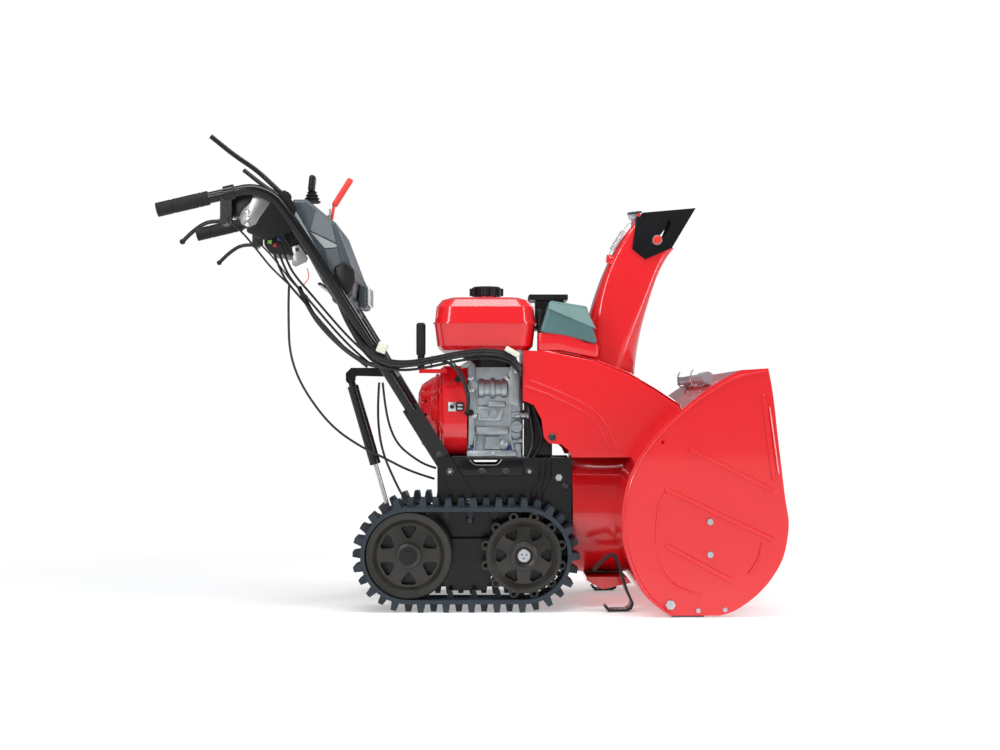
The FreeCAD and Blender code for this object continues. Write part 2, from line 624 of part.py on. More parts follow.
# The gear case hangs on the two shafts; its bores are running fits.
shell = joined([rod(("auger_x", -34, "auger_z"), (0, 1, 0), 44, 68),
                rod((492, 0, "impeller_z"), (1, 0, 0), 27, 120),
                rod(("auger_x", -42, "auger_z"), (0, 1, 0), 24, 84)])
hollow = [rod(("auger_x", -20, "auger_z"), (0, 1, 0), 32, 40),
          rod((516, 0, "impeller_z"), (1, 0, 0), 18, 80),
          rod(("auger_x", -60, "auger_z"), (0, 1, 0), "auger_shaft + running_gap", 120),
          rod((480, 0, "impeller_z"), (1, 0, 0), "impeller_shaft + running_gap", 125)]
node(less(shell, hollow), "auger_gearcase")

# ---------------------------------------------------------------- impeller
axle = rod((166, 0, "impeller_z"), (1, 0, 0), "impeller_shaft", 434)
worm = rod((548, 0, "impeller_z"), (1, 0, 0), 14, 44)
fan = [rod((268, 0, "impeller_z"), (1, 0, 0), 24, 92)]
for k in range(4):
    turn = FreeCAD.Rotation(V(1, 0, 0), 90 * k + 20)
    blade = doc.addObject("Part::Box", "blade")
    blade.Length, blade.Width = 78, 4
    bind(blade, "Height", "impeller_tip - 14")
    spot = turn.multVec(V(270, -2, 14))
    blade.Placement = FreeCAD.Placement(spot + V(0, 0, num("impeller_z")), turn)
    blade.setExpression(".Placement.Base.z", link("impeller_z + %.4f" % spot.z))
    lip = doc.addObject("Part::Box", "lip")
    lip.Length, lip.Width, lip.Height = 78, 20, 4
    spot = turn.multVec(V(270, -2, num("impeller_tip") - 12))
    lip.Placement = FreeCAD.Placement(spot + V(0, 0, num("impeller_z")), turn)
    fan += [blade, lip]
disc = rod((266, 0, "impeller_z"), (1, 0, 0), 120, 4)
impeller_parts = fan + [disc, axle, worm]


def pulley(x, z, radius, wide, bore):
    """A V-belt pulley with its groove."""
    line = ((bore, 0), (radius, 0), (radius, 2.5), ("%s - 10" % radius, wide / 2.0 - 2.5),
            ("%s - 10" % radius, wide / 2.0 + 2.5), (radius, wide - 2.5), (radius, wide),
            (bore, wide))
    return spun(line, (x, 0, z), (1, 0, 0))


def belt_loop(x, low_z, low_r, high_z, high_r, wide, depth):
    """A V belt around two pulleys on vertical centres, clear of both grooves."""
    def oval(extra, half, at):
        r0, r1 = low_r + extra, high_r + extra
        lean = math.asin((r0 - r1) / (high_z - low_z))
        c, s = math.cos(lean), math.sin(lean)
        p = [V(at, r0 * c, low_z + r0 * s), V(at, r1 * c, high_z + r1 * s),
             V(at, -r1 * c, high_z + r1 * s), V(at, -r0 * c, low_z + r0 * s)]
        return Part.Wire([Part.LineSegment(p[0], p[1]).toShape(),
                          Part.Arc(p[1], V(at, 0, high_z + r1), p[2]).toShape(),
                          Part.LineSegment(p[2], p[3]).toShape(),
                          Part.Arc(p[3], V(at, 0, low_z - r0), p[0]).toShape()])
    whole = Part.Face(oval(0, 0, x - wide / 2.0)).extrude(V(wide, 0, 0))
    return whole.cut(Part.Face(oval(-depth, 0, x - wide)).extrude(V(3 * wide, 0, 0)))


node(joined(impeller_parts + [pulley(174, "impeller_z", 78, 16, 9)]), "impeller")
node(joined([crank, wheel, pulley(174, "crank_z", 38, 16, 12),
             pulley(150, "crank_z", 34, 16, 12)]), "crank_rotors")
node(joined([pulley(150, 290, 56, 16, 9), rod((138.3, 0, 290), (1, 0, 0), 9.5, 32)]),
     "transmission_pulley")
node(grouped([shaped(belt_loop(182, num("impeller_z"), 78.5, num("crank_z"), 38.5, 4, 8)),
              shaped(belt_loop(158, 290, 56.5, num("crank_z"), 34.5, 4, 8))]), "drive_belts")
arm = joined([rod((196, 111, 324), (1, 0, 0), 9.5, 6), rod((196, 90, 396), (1, 0, 0), 12, 6),
              shaped(Part.Face(Part.makePolygon([V(196, 103, 322), V(196, 119, 326),
                                                 V(196, 99, 398), V(196, 81, 394),
                                                 V(196, 103, 322)])).extrude(V(6, 0, 0))),
              rod((173, 90, 396), (1, 0, 0), 6, 26)])
arm = less(arm, [rod((190, 111, 324), (1, 0, 0), 6.05, 20)])
node(joined([arm, rod((174, 90, 396), (1, 0, 0), 19, 16)]), "belt_tensioner")

# ---------------------------------------------------------------- chute and deflector
# The upper chute's seams sit on a turned lower tube that carries the base ring and the gear.
chute_line = (((349, 0, 560), 145, 145, 70, 0), ((354, 0, 614), 144, 142, 60, 3),
              ((366, 0, 690), 142, 138, 40, 8), ((384, 0, 760), 140, 134, 24, 14),
              ((417, 0, 852), 138, 128, 16, 24), ((474, 0, 942), 136, 118, 12, 37.6))
chute_in = tapered([(spot, w - 6, t - 6, max(c - 3, 3), k) for spot, w, t, c, k in chute_line])
chute = tapered(chute_line).cut(chute_in)
posts = [Part.makeCylinder(4, 18, V(477, s * 75 - 9, 927), V(0, 1, 0)) for s in (1, -1)]
heads = [Part.makeCylinder(10, 5, V(477, s * 76.5 - 2.5, 927), V(0, 1, 0)) for s in (1, -1)]
ears = Part.makeBox(14, 110, 20, V(422, -55, 968))
hinge_line = Part.makeCylinder(4, 150, V(431, -75, 991), V(0, 1, 0))
hinge = ears.fuse(hinge_line).cut(chute_in)
for extra in (hinge, posts[0].fuse(heads[0]), posts[1].fuse(heads[1])):
    chute = chute.fuse(extra)
lower = Part.makeCylinder(72.5, 123, V(348, 0, 437)).fuse(
    [Part.makeCylinder(79, 5, V(348, 0, 437)), Part.makeCylinder(88, 7, V(348, 0, 446))])
lower = lower.cut(Part.makeCylinder(69.5, 140, V(348, 0, 430)))
node(grouped([shaped(chute), shaped(lower)]), "chute_tube")
node(joined([rod((348, 102, 446), (0, 0, 1), 13.6, 7), rod((348, 102, 440), (0, 0, 1), 4, 22)]),
     "chute_pinion")
motor = joined([block((322, 82, 457), (382, 124, 474)), rod((348, 102, 470), (0, 0, 1), 24, 62),
                block((378, 88, 360.5), (382, 124, 474))])
node(less(motor, [rod((348, 102, 450), (0, 0, 1), 4.05, 14)]), "chute_motor")
doc.recompute()
cheek = Part.Face(Part.makePolygon([V(x, -70, z) for x, z in (
    (424, 984), (440, 997), (576, 1009), (515, 907), (446, 878), (413, 904), (424, 984))]))
cheek = cheek.extrude(V(0, -3, 0))


def on_arc(radius, degrees):
    a = math.radians(degrees)
    return V(431 + radius * math.cos(a), -78, 991 + radius * math.sin(a))


slot_line = [Part.Arc(on_arc(83.4, -63), on_arc(83.4, -38), on_arc(83.4, -12)),
             Part.Arc(on_arc(83.4, -12), on_arc(78.8, -8.65), on_arc(74.2, -12)),
             Part.Arc(on_arc(74.2, -12), on_arc(74.2, -38), on_arc(74.2, -63)),
             Part.Arc(on_arc(74.2, -63), on_arc(78.8, -66.35), on_arc(83.4, -63))]
arc_slot = Part.Face(Part.Wire([a.toShape() for a in slot_line])).extrude(V(0, 16, 0))
cheek = cheek.cut(arc_slot).cut(Part.makeCylinder(4.05, 12, V(431, -76, 991), V(0, 1, 0)))
other = cheek.mirror(V(0, 0, 0), V(0, 1, 0))
roof = Part.Face(Part.makePolygon([V(x, -70, z) for x, z in (
    (442, 994), (440, 998), (576, 1010), (574, 1006), (442, 994))])).extrude(V(0, 140, 0))
node(shaped(cheek.fuse([other, roof])), "deflector")
node(joined([rod((361, -62, 903), (0.53, 0, 0.848), 5, 56), rod((355, -62, 893.5), (0.53, 0, 0.848), 1.2, 80)]),
     "deflector_spring")

# ---------------------------------------------------------------- tracks
# One side is made at y = -track_centre and mirrored.  The belt's inner face clears the rims.
axle_z = num("wheel_radius + wheel_gap + belt_thick + lug_high")
x0, x1 = num("idler_x"), num("sprocket_x")
tc, tw = num("track_centre"), num("track_wide")


def oval(radius, y, low=0):
    return Part.Wire([
        Part.LineSegment(V(x0, y, axle_z + radius), V(x1, y, axle_z + radius)).toShape(),
        Part.Arc(V(x1, y, axle_z + radius), V(x1 + radius, y, axle_z),
                 V(x1, y, axle_z - radius)).toShape(),
        Part.LineSegment(V(x1, y, axle_z - radius), V(x0, y, axle_z - radius)).toShape(),
        Part.Arc(V(x0, y, axle_z - radius), V(x0 - radius, y, axle_z),
                 V(x0, y, axle_z + radius)).toShape()])


def along(distance, radius):
    """Position on the oval and the way that points out of it, from a distance round it."""
    run = x1 - x0
    bend = math.pi * radius
    distance %= 2 * (run + bend)
    if distance < run:
        return x0 + distance, axle_z + radius, 0.0
    distance -= run
    if distance < bend:
        a = distance / radius
        return x1 + radius * math.sin(a), axle_z + radius * math.cos(a), math.degrees(a)
    distance -= bend
    if distance < run:
        return x1 - distance, axle_z - radius, 180.0
    a = (distance - run) / radius
    return x0 - radius * math.sin(a), axle_z - radius * math.cos(a), 180 + math.degrees(a)


inner_r = num("wheel_radius + wheel_gap")
outer_r = inner_r + num("belt_thick")
belt = Part.Face(oval(outer_r, -tc - tw / 2)).extrude(V(0, tw, 0))
belt = belt.cut(Part.Face(oval(inner_r, -tc - tw)).extrude(V(0, 2 * tw, 0)))
lugs, teeth = [], []
count = int(num("lug_count"))
step = 2 * (x1 - x0 + math.pi * outer_r) / count
high = num("lug_high")
for k in range(count):
    x, z, lean = along(k * step + 4, outer_r)
    wide = tw - 2 if k % 2 else tw - 44
    foot = [V(-10, -wide / 2, -1.5), V(10, -wide / 2, -1.5), V(6.5, -wide / 2, high),
            V(-6.5, -wide / 2, high), V(-10, -wide / 2, -1.5)]
    lug = Part.Face(Part.makePolygon(foot)).extrude(V(0, wide, 0))
    lug.Placement = FreeCAD.Placement(V(x, -tc, z), FreeCAD.Rotation(V(0, 1, 0), lean))
    lugs.append(lug)
    if k % 2:
        tip = along(k * step * (x1 - x0 + math.pi * inner_r) / (x1 - x0 + math.pi * outer_r) + 4,
                    inner_r)
        tooth = Part.Face(Part.makePolygon([V(-9, -7, 1), V(9, -7, 1), V(4, -7, -20),
                                            V(-4, -7, -20), V(-9, -7, 1)])).extrude(V(0, 14, 0))
        tooth.Placement = FreeCAD.Placement(V(tip[0], -tc, tip[1]),
                                            FreeCAD.Rotation(V(0, 1, 0), tip[2]))
        teeth.append(tooth)
belt = belt.fuse(lugs + teeth)
left_belt = belt.mirror(V(0, 0, 0), V(0, 1, 0))
node(grouped([shaped(belt), shaped(left_belt)]), "track_belts")


def pocket(radius_in, radius_out, spread, depth, face, angle):
    """A rounded-triangle recess in the wheel's outer face."""
    a = math.radians(spread)
    points = [V(radius_in, 0, 0), V(radius_out * math.cos(a), radius_out * math.sin(a), 0),
              V(radius_out * math.cos(a), -radius_out * math.sin(a), 0), V(radius_in, 0, 0)]
    tri = Part.Face(Part.makePolygon(points)).extrude(V(0, 0, depth))
    tri = softened(tri, 7, lambda e: abs(e.tangentAt(e.FirstParameter).z) > 0.9)
    tri.rotate(V(0, 0, 0), V(0, 0, 1), angle)
    tri.translate(V(0, 0, face))
    return tri


rim = num("wheel_radius")
profile = [(0, -56), (24, -56), (30, -40), (78, -36), (88, -46), (rim - 3, -48), (rim, -44),
           (rim, -11), (rim - 28, -11), (rim - 28, 11), (rim, 11), (rim, 42), (rim - 5, 44),
           (0, 44)]
turned = Part.Face(Part.makePolygon([V(r, 0, h) for r, h in profile + profile[:1]])).revolve(
    V(0, 0, 0), V(0, 0, 1), 360)
idler = turned
for k in range(6):
    idler = idler.cut(pocket(36, 76, 19, 40, -44, 60 * k + 30))
spin = FreeCAD.Rotation(V(1, 0, 0), -90)
idler_bore = Part.makeCylinder(num("axle_radius + running_gap"), 200, V(0, 0, -100))
idler_shape = idler.cut(idler_bore)
idler_shape.Placement = FreeCAD.Placement(V(x0, -tc, axle_z), spin)
node(shaped(idler_shape), "idler_right")
node(shaped(idler_shape.mirror(V(0, 0, 0), V(0, 1, 0))), "idler_left")
hub_line = [(0, -56), (24, -56), (30, -42), (70, -36), (84, -46), (92, -46), (92, -11),
            (rim - 28, -11), (rim - 28, 11), (92, 11), (92, 42), (0, 42)]
sprocket = Part.Face(Part.makePolygon([V(r, 0, h) for r, h in hub_line + hub_line[:1]])).revolve(
    V(0, 0, 0), V(0, 0, 1), 360)
for k in range(6):
    sprocket = sprocket.cut(pocket(36, 72, 19, 40, -44, 60 * k))
lobes = []
for k in range(12):
    a = math.radians(30 * k + 15)
    c, s = (rim - 12) * math.cos(a), (rim - 12) * math.sin(a)
    for low, tall in ((-44, 32), (12, 30)):
        lobe = Part.makeCylinder(12, tall, V(c, s, low)).cut(
            Part.makeCylinder(5.5, tall, V(c * 1.02, s * 1.02, low)))
        lobes.append(lobe)
sprocket = sprocket.fuse(lobes)
sprocket = sprocket.fuse(Part.makeCylinder(num("drive_radius"), 106, V(0, 0, 42)))
sprocket.Placement = FreeCAD.Placement(V(x1, -tc, axle_z), spin)
node(shaped(sprocket), "sprocket_right")
node(shaped(sprocket.mirror(V(0, 0, 0), V(0, 1, 0))), "sprocket_left")

cheek_bar = plate("XZ", (("idler_x - 24", axle_z - 22), (-84, axle_z - 30), (-58, 42), (38, 42),
                         (64, axle_z - 32), ("sprocket_x + 26", axle_z - 26),
                         ("sprocket_x + 26", axle_z + 26), (60, axle_z + 34),
                         (-80, axle_z + 34), ("idler_x - 24", axle_z + 22)), 6,
                  (0, "-track_centre + 50.5", 0),
                  (("sprocket_x", axle_z, "drive_radius + running_gap"),), 12)
stub_axle = rod(("idler_x", "-track_centre - 57.5", axle_z), (0, 1, 0), "axle_radius", 106)
washer = rod(("idler_x", "-track_centre - 61", axle_z), (0, 1, 0), 21, 4)
nut = rod(("idler_x", "-track_centre - 66", axle_z), (0, 1, 0), 13, 6)
tie = rod((-108, "-track_centre + 50", axle_z), (0, 1, 0), 12, "2*(track_centre - 50)")
fork = [plate("XZ", ((-104, 128), (-120, 126), (-202, 184), (-200, 202), (-186, 204),
                     (-104, 152)), 5, (0, y, 0), soften=4) for y in (-139, -111)]
pin = rod((-191, -142, 190), (0, 1, 0), 5, 34)
node(joined([cheek_bar, mirror(cheek_bar), stub_axle, mirror(stub_axle), washer, mirror(washer),
             nut, mirror(nut), tie, pin] + fork), "track_carriage")

# ---------------------------------------------------------------- gas strut
top, low = V(-302, -125, 570), V(-191, -125, 190)
way = (low - top).normalize()
body = [Part.makeCylinder(num("strut_radius"), 205, top + way * 18, way),
        Part.makeCylinder(9, 20, top + way * 2 + V(0, 0, 0), way),
        Part.makeCylinder(12, 16, top - V(0, 8, 0), V(0, 1, 0))]
tube = body[0].fuse(body[1:]).cut([
    Part.makeCylinder(6.05, 30, top - V(0, 15, 0), V(0, 1, 0)),
    Part.makeCylinder(num("strut_rod_radius + running_gap"), 196, top + way * 30, way)])
node(shaped(tube), "strut_cylinder")
piston = Part.makeCylinder(num("strut_rod_radius"), 300, top + way * 84, way)
eye = Part.makeCylinder(13, 16, low - V(0, 8, 0), V(0, 1, 0))
piston = piston.fuse(eye).cut(Part.makeCylinder(7.2, 30, low - V(0, 15, 0), V(0, 1, 0)))
node(shaped(piston), "strut_rod")

# ---------------------------------------------------------------- handle
bar = bent((("-handle_reach + 2", -280, 977.5), (-629, -280, 1008), (-497, -280, 1037),
            (-420, -268, 932), (-304, -226, 747), (-146, -160, 490)), "handle_tube")


def flat_bar(stations, wide, thick):
    """A flattened tube end that leans in to the frame."""
    wires = []
    for x, y, z in stations:
        a, b = V(0.84, 0, 0.54) * (wide / 2.0), V(0, 1, 0) * (thick / 2.0)
        c = V(x, y, z)
        wires.append(Part.makePolygon([c - a - b, c + a - b, c + a + b, c - a + b, c - a - b]))
    return Part.makeLoft(wires, True, True)


flat = shaped(flat_bar(((-152, -162, 500), (-84, -135, 389), (-74, -129.5, 373),
                        (4, -129.5, 247)), 42, 8))
node(both(less(joined([bar, flat]), [rod((x, -150, z), (0, 1, 0), 5.3, 30)
                                     for x, z in ((-52, 337), (-4, 261))])), "handle_tubes")
grip_end, grip_way = V(-num("handle_reach"), -280, 977), V(131, 0, 31)
grip = Part.makeCylinder(num("grip_radius"), 128, grip_end, grip_way)
for k in range(9):
    grip = grip.cut(Part.makeTorus(num("grip_radius") + 1, 2.2,
                                   grip_end + grip_way.normalize() * (14 + 12.5 * k), grip_way))
grip = grip.cut(Part.makeCylinder(num("handle_tube") + 0.02, 160, grip_end + grip_way * 2,
                                  grip_way))
node(both(shaped(grip)), "handle_grips")
cross = [rod((-204, -172, 586), (0, 1, 0), 11, 344),
         rod((-300, -212, 742), (0, 1, 0), 8, 424)]
arm = [plate("XZ", ((-312, 562), (-300, 558), (-288, 578), (-206, 576), (-200, 592), (-206, 598),
                    (-300, 598), (-314, 584)), 4, (0, y, 0), soften=3) for y in (-137, -113)]
arm.append(rod((-302, -139, 570), (0, 1, 0), 6, 28))
brace = joined(cross + arm)
frame_bolts = [bolt((x, "-frame_half", 337), (0, 1, 0), 4.5, 3, 8.5) for x in (28, 88, 148)]
frame_bolts += [bolt((222, "-frame_half", 322), (0, 1, 0), 5, 3, 9)]
frame_bolts += [bolt((240, "-frame_half", 300), (0, 1, 0), 4, 3, 7),
                bolt((-52, -133.6, 337), (0, 1, 0), 5, 12, 9),
                bolt((-4, -133.6, 261), (0, 1, 0), 5, 12, 9)]
frame_bolts = grouped(frame_bolts + [mirror(b) for b in frame_bolts])

# ---------------------------------------------------------------- console
half = num("console_half")
side_line = [(-452, 996), (-438, 1014), (-405, 1014), (-352, 970), (-333, 955), (-304, 880),
             (-284, 826), (-292, 776), (-322, 750), (-340, 760), (-372, 812), (-420, 900)]
shell = Part.Face(Part.makePolygon([V(x, -half, z) for x, z in side_line + side_line[:1]]))
shell = softened(shell.extrude(V(0, 2 * half, 0)), 12,
                 lambda e: abs(abs(e.CenterOfMass.y) - half) < 1)
hole = Part.Face(Part.makePolygon([V(x, 4 - half, z) for x, z in (
    (-448, 990), (-437, 1008), (-407, 1008), (-356, 966), (-338, 950), (-309, 878), (-290, 826),
    (-297, 780), (-322, 757), (-340, 770), (-400, 700), (-500, 860), (-448, 990))])).extrude(
        V(0, 2 * half - 8, 0))
shell = shell.cut(hole)
pits = [Part.makeCylinder(30, 60, V(-402, -110, 975)), Part.makeBox(80, 20, 120, V(-396, -40, 930)),
        Part.makeCylinder(8, 60, V(-372, 60, 955))]
console = shaped(shell.cut(pits))
lamp = shaped(softened(Part.makeBox(24, 150, 62, V(-289, -75, 752)), 8, lambda e: True))
node(grouped([console, lamp]), "console_shell")
node(shaped(softened(Part.makeBox(7, 134, 46, V(-264.6, -67, 760)), 3, lambda e: True)),
     "headlight_lens")
plates = plate("XZ", ((-545, 925), (-500, 905), (-440, 925), (-424, 985), (-452, 1030),
                      (-500, 1000), (-545, 960)), 3, (0, -262, 0), soften=6)
lever_pin = rod((-452, -263, 1012), (0, 1, 0), 6, 28)
washers = [rod((-520, -266.5, 946), (0, 1, 0), 8, 3), rod((-470, -266.5, 950), (0, 1, 0), 6, 3)]
pivots = both(joined([plates, lever_pin] + washers))
perch = [rod((-597, -280, 1015.5), (0.974, 0, 0.225), 19, 26)]
perch = less(joined(perch + [block((-606, -290, 948), (-578, -270, 1004)),
                             rod((-596, -296, 950), (0, 1, 0), 11, 32)]),
             [shaped(Part.makeCylinder(num("handle_tube"), 100, V(-629, -280, 1008),
                                       V(132, 0, 29))),
              block((-640, -286, 930), (-570, -274, 966))])
perches = both(joined([perch, rod((-596, -292, 950), (0, 1, 0), 4, 24)]))
node(grouped([pivots, perches]), "lever_mounts")
# The two long bars over the grips are pressed down to drive and to throw.
lever = [bent(((-452, -252, 1012), (-522, -252, 1078), (-575, -268, 1112), (-631, -280, 1157)),
              "lever_rod"),
         rod((-452, -259.5, 1012), (0, 1, 0), 14, 16)]
lever = less(joined(lever), [rod((-452, -290, 1012), (0, 1, 0), 6.05, 80)])
node(lever, "clutch_lever_right")
lever = [bent(((-452, -252, 1012), (-522, -252, 1078), (-575, -268, 1112), (-631, -280, 1157)),
              "lever_rod"),
         rod((-452, -259.5, 1012), (0, 1, 0), 14, 16)]
node(mirror(less(joined(lever), [rod((-452, -290, 1012), (0, 1, 0), 6.05, 80)])),
     "clutch_lever_left")
for name in ("steering_lever_right", "steering_lever_left"):
    hand = joined([bent(((-600, -280, 950), (-640, -280, 948), (-672, -280, 926),
                         (-698, -280, 900)), 5), rod((-596, -285.4, 950), (0, 1, 0), 10, 10.8),
                   ball((-698, -280, 900), 7)])
    hand = less(hand, [rod((-596, -300, 950), (0, 1, 0), 4.05, 40)])
    node(hand if name.endswith("right") else mirror(hand), name)
gear = [rod((-372, -30, 905), (0, 1, 0), 7, 14),
        shaped(Part.makeCylinder(4, 118, V(-372, -30, 905), V(0.16, 0, 0.987))),
        shaped(softened(Part.makeBox(16, 12, 84, V(-8, -6, 0)), 5, lambda e: True))]
gear[2].Placement = FreeCAD.Placement(V(-354, -30, 1018), FreeCAD.Rotation(V(0, 1, 0), 32))
node(less(joined(gear), [rod((-372, -60, 905), (0, 1, 0), 4.05, 60)]), "speed_lever")
bracket = joined([rod((-372, -60, 905), (0, 1, 0), 4, 60),
                  block((-376, -60, 800), (-368, -52, 912)),
                  block((-376, -8, 800), (-368, 0, 912)),
                  block((-376, -218, 800), (-368, 218, 806))])
node(grouped([brace, bracket]), "handle_cross_braces")
boot = spun(((0, 0), (22, 0), (22, 5), (17, 8), (20, 12), (14, 16), (17, 20), (11, 24),
             (13, 28), (6, 32), (0, 32)), (-402, -110, 1016), (0, 0, 1))
paddle = shaped(softened(Part.makeBox(16, 34, 42, V(-410, -127, 1044)), 6, lambda e: True))
node(joined([boot, paddle, rod((-402, -110, 960), (0, 0, 1), 5, 90)]), "chute_joystick")
node(less(rod((-402, -110, 984), (0, 0, 1), 15, 8), [rod((-402, -110, 980), (0, 0, 1), 9, 20)]),
     "joystick_gimbal")
node(joined([rod((-372, 60, 1000), (0, 0, 1), 7, 6), block((-374, 50, 1002), (-370, 70, 1022))]),
     "ignition_key")

# ---------------------------------------------------------------- clearing stick and its clips
stick = [rod((580, -250, 572), (0, 1, 0), 11, 500), rod((580, -254, 572), (0, 1, 0), 14, 112),
         block((568, 236, 561), (592, 262, 583))]
node(joined(stick), "snow_clearing_stick")
wire = []
for y in (-120, 150):
    clip = bent(((613, y, 583), (600, y, 571), (583, y, 557), (563, y, 552), (556, y, 566),
                 (556, y, 584), (562, y, 594)), 2)
    wire.append(clip)
node(grouped(wire + [side_bolts, frame_bolts]), "fasteners_and_clips")

# ---------------------------------------------------------------- cables
# Route points are chosen by hand so that every run hangs clear of the moving parts.
CABLES = (
    ("speed_cable", 3, ((-450, -190, 806), (-452, -186, 770), (-452, -182, 706),
                        (-450, -178, 640), (-432, -172, 577), (-398, -164, 516),
                        (-346, -156, 450), (-282, -150, 404), (-216, -146, 372),
                        (-150, -118, 336), (-92, -100, 318))),
    ("drive_cable", 3, ((-232, -100, 562), (-236, -100, 500), (-232, -98, 430),
                        (-220, -96, 376), (-196, -94, 320), (-170, -92, 268),
                        (-140, -90, 232), (-92, -88, 226))),
    ("auger_cable", 3, ((-224, -84, 562), (-218, -82, 500), (-204, -80, 440),
                        (-182, -78, 400), (-150, -76, 374), (-116, -74, 352),
                        (-88, -72, 344))),
    ("wiring_harness", 6, ((-430, -150, 800), (-400, -168, 736), (-350, -178, 676),
                           (-290, -190, 624), (-236, -213, 598), (-160, -213, 600),
                           (-84, -206, 618), (-10, -202, 630), (60, -202, 630),
                           (112, -200, 618), (126, -196, 590))),
    ("steering_cable_right", 2.5, ((-600, -262, 966), (-560, -250, 930), (-520, -236, 880),
                                   (-486, -222, 836), (-446, -204, 800))),
    ("steering_cable_left", 2.5, ((-600, 262, 966), (-560, 250, 930), (-520, 236, 880),
                                  (-486, 222, 836), (-446, 204, 800))),
)
for name, radius, points in CABLES:
    node(bent(points, radius), name)
    runs = [(V(*b) - V(*a)).Length for a, b in zip(points, points[1:])]
    print(name, "runs", [round(r) for r in runs])

# ---------------------------------------------------------------- check and write
doc.recompute()
os.makedirs("parts", exist_ok=True)
bad = [item.Label for item in doc.Objects if set(item.State) & {"Invalid", "Error"}]
if bad:
    raise SystemExit("not solved: " + ", ".join(bad))
for item in NODES:
    shape = item.Shape
    if shape.isNull() or not shape.isValid() or not shape.Solids:
        raise SystemExit("bad shape: " + item.Label)
for item in NODES:
    item.Shape.exportStep("parts/" + item.Label + ".step")
    box = item.Shape.BoundBox
    print("%-24s %2d solids %9.0f mm3  x %.0f..%.0f y %.0f..%.0f z %.0f..%.0f" % (
        item.Label, len(item.Shape.Solids), item.Shape.Volume, box.XMin, box.XMax,
        box.YMin, box.YMax, box.ZMin, box.ZMax))
print(len(NODES), "nodes")
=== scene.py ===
import bpy
import bmesh
import math
from mathutils import Matrix, Vector


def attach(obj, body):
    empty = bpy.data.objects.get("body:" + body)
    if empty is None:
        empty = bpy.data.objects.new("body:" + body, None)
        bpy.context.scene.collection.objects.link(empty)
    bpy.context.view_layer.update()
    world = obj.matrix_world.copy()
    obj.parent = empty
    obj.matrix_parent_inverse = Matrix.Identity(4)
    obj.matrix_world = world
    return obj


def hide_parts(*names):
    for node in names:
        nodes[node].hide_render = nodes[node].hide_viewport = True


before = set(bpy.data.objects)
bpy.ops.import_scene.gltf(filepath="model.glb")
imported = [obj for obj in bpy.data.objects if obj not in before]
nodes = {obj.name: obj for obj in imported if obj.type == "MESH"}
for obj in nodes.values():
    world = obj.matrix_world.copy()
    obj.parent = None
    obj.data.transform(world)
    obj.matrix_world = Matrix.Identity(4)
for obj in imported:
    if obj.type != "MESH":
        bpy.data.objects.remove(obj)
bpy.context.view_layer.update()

# ------------------------------------------------------------------ studio
# A seamless pale floor and large soft boxes, with the camera low and square to the
# operator's right side of the machine.
camera_data = bpy.data.cameras.new("studio_camera")
camera_data.sensor_width = 36
camera_data.lens = 58.92
camera_data.clip_end = 60
camera = bpy.data.objects.new("studio_camera", camera_data)
camera.location = (0.0235, -4.25, 0.487)
camera.rotation_euler = (math.radians(91.295), 0, math.radians(-0.70))
bpy.context.scene.collection.objects.link(camera)
bpy.context.scene.camera = camera
bpy.context.scene.view_settings.view_transform = "Standard"
bpy.context.scene.view_settings.look = "None"

sky = bpy.data.worlds.new("studio_light")
sky.use_nodes = True
room = sky.node_tree.nodes["Background"]
room.inputs["Color"].default_value = (0.62, 0.66, 0.7, 1)
room.inputs["Strength"].default_value = 0.36
backdrop = sky.node_tree.nodes.new("ShaderNodeBackground")
backdrop.inputs["Color"].default_value = (1, 1, 1, 1)
backdrop.inputs["Strength"].default_value = 1.0
eye, choose = sky.node_tree.nodes.new("ShaderNodeLightPath"), sky.node_tree.nodes.new(
    "ShaderNodeMixShader")
sky.node_tree.links.new(eye.outputs["Is Camera Ray"], choose.inputs["Fac"])
sky.node_tree.links.new(room.outputs["Background"], choose.inputs[1])
sky.node_tree.links.new(backdrop.outputs["Background"], choose.inputs[2])
sky.node_tree.links.new(choose.outputs["Shader"],
                        sky.node_tree.nodes["World Output"].inputs["Surface"])
bpy.context.scene.world = sky


def soft_box(name, spot, aim, wide, tall, power):
    light = bpy.data.lights.new(name, "AREA")
    light.shape = "RECTANGLE"
    light.size, light.size_y, light.energy = wide, tall, power
    lamp = bpy.data.objects.new(name, light)
    lamp.location = spot
    lamp.rotation_euler = (Vector(aim) - Vector(spot)).to_track_quat("-Z", "Y").to_euler()
    bpy.context.scene.collection.objects.link(lamp)


soft_box("box_above", (0.1, -0.7, 2.7), (0, 0, 0.4), 3.0, 1.0, 56)
soft_box("box_near", (-1.5, -3.3, 1.7), (0.1, 0, 0.45), 0.5, 1.9, 34)
soft_box("box_far_side", (1.9, 2.4, 1.5), (0, 0, 0.6), 1.2, 1.6, 34)
soft_box("box_low", (2.5, -2.2, 0.9), (0.3, 0, 0.3), 0.3, 1.6, 20)

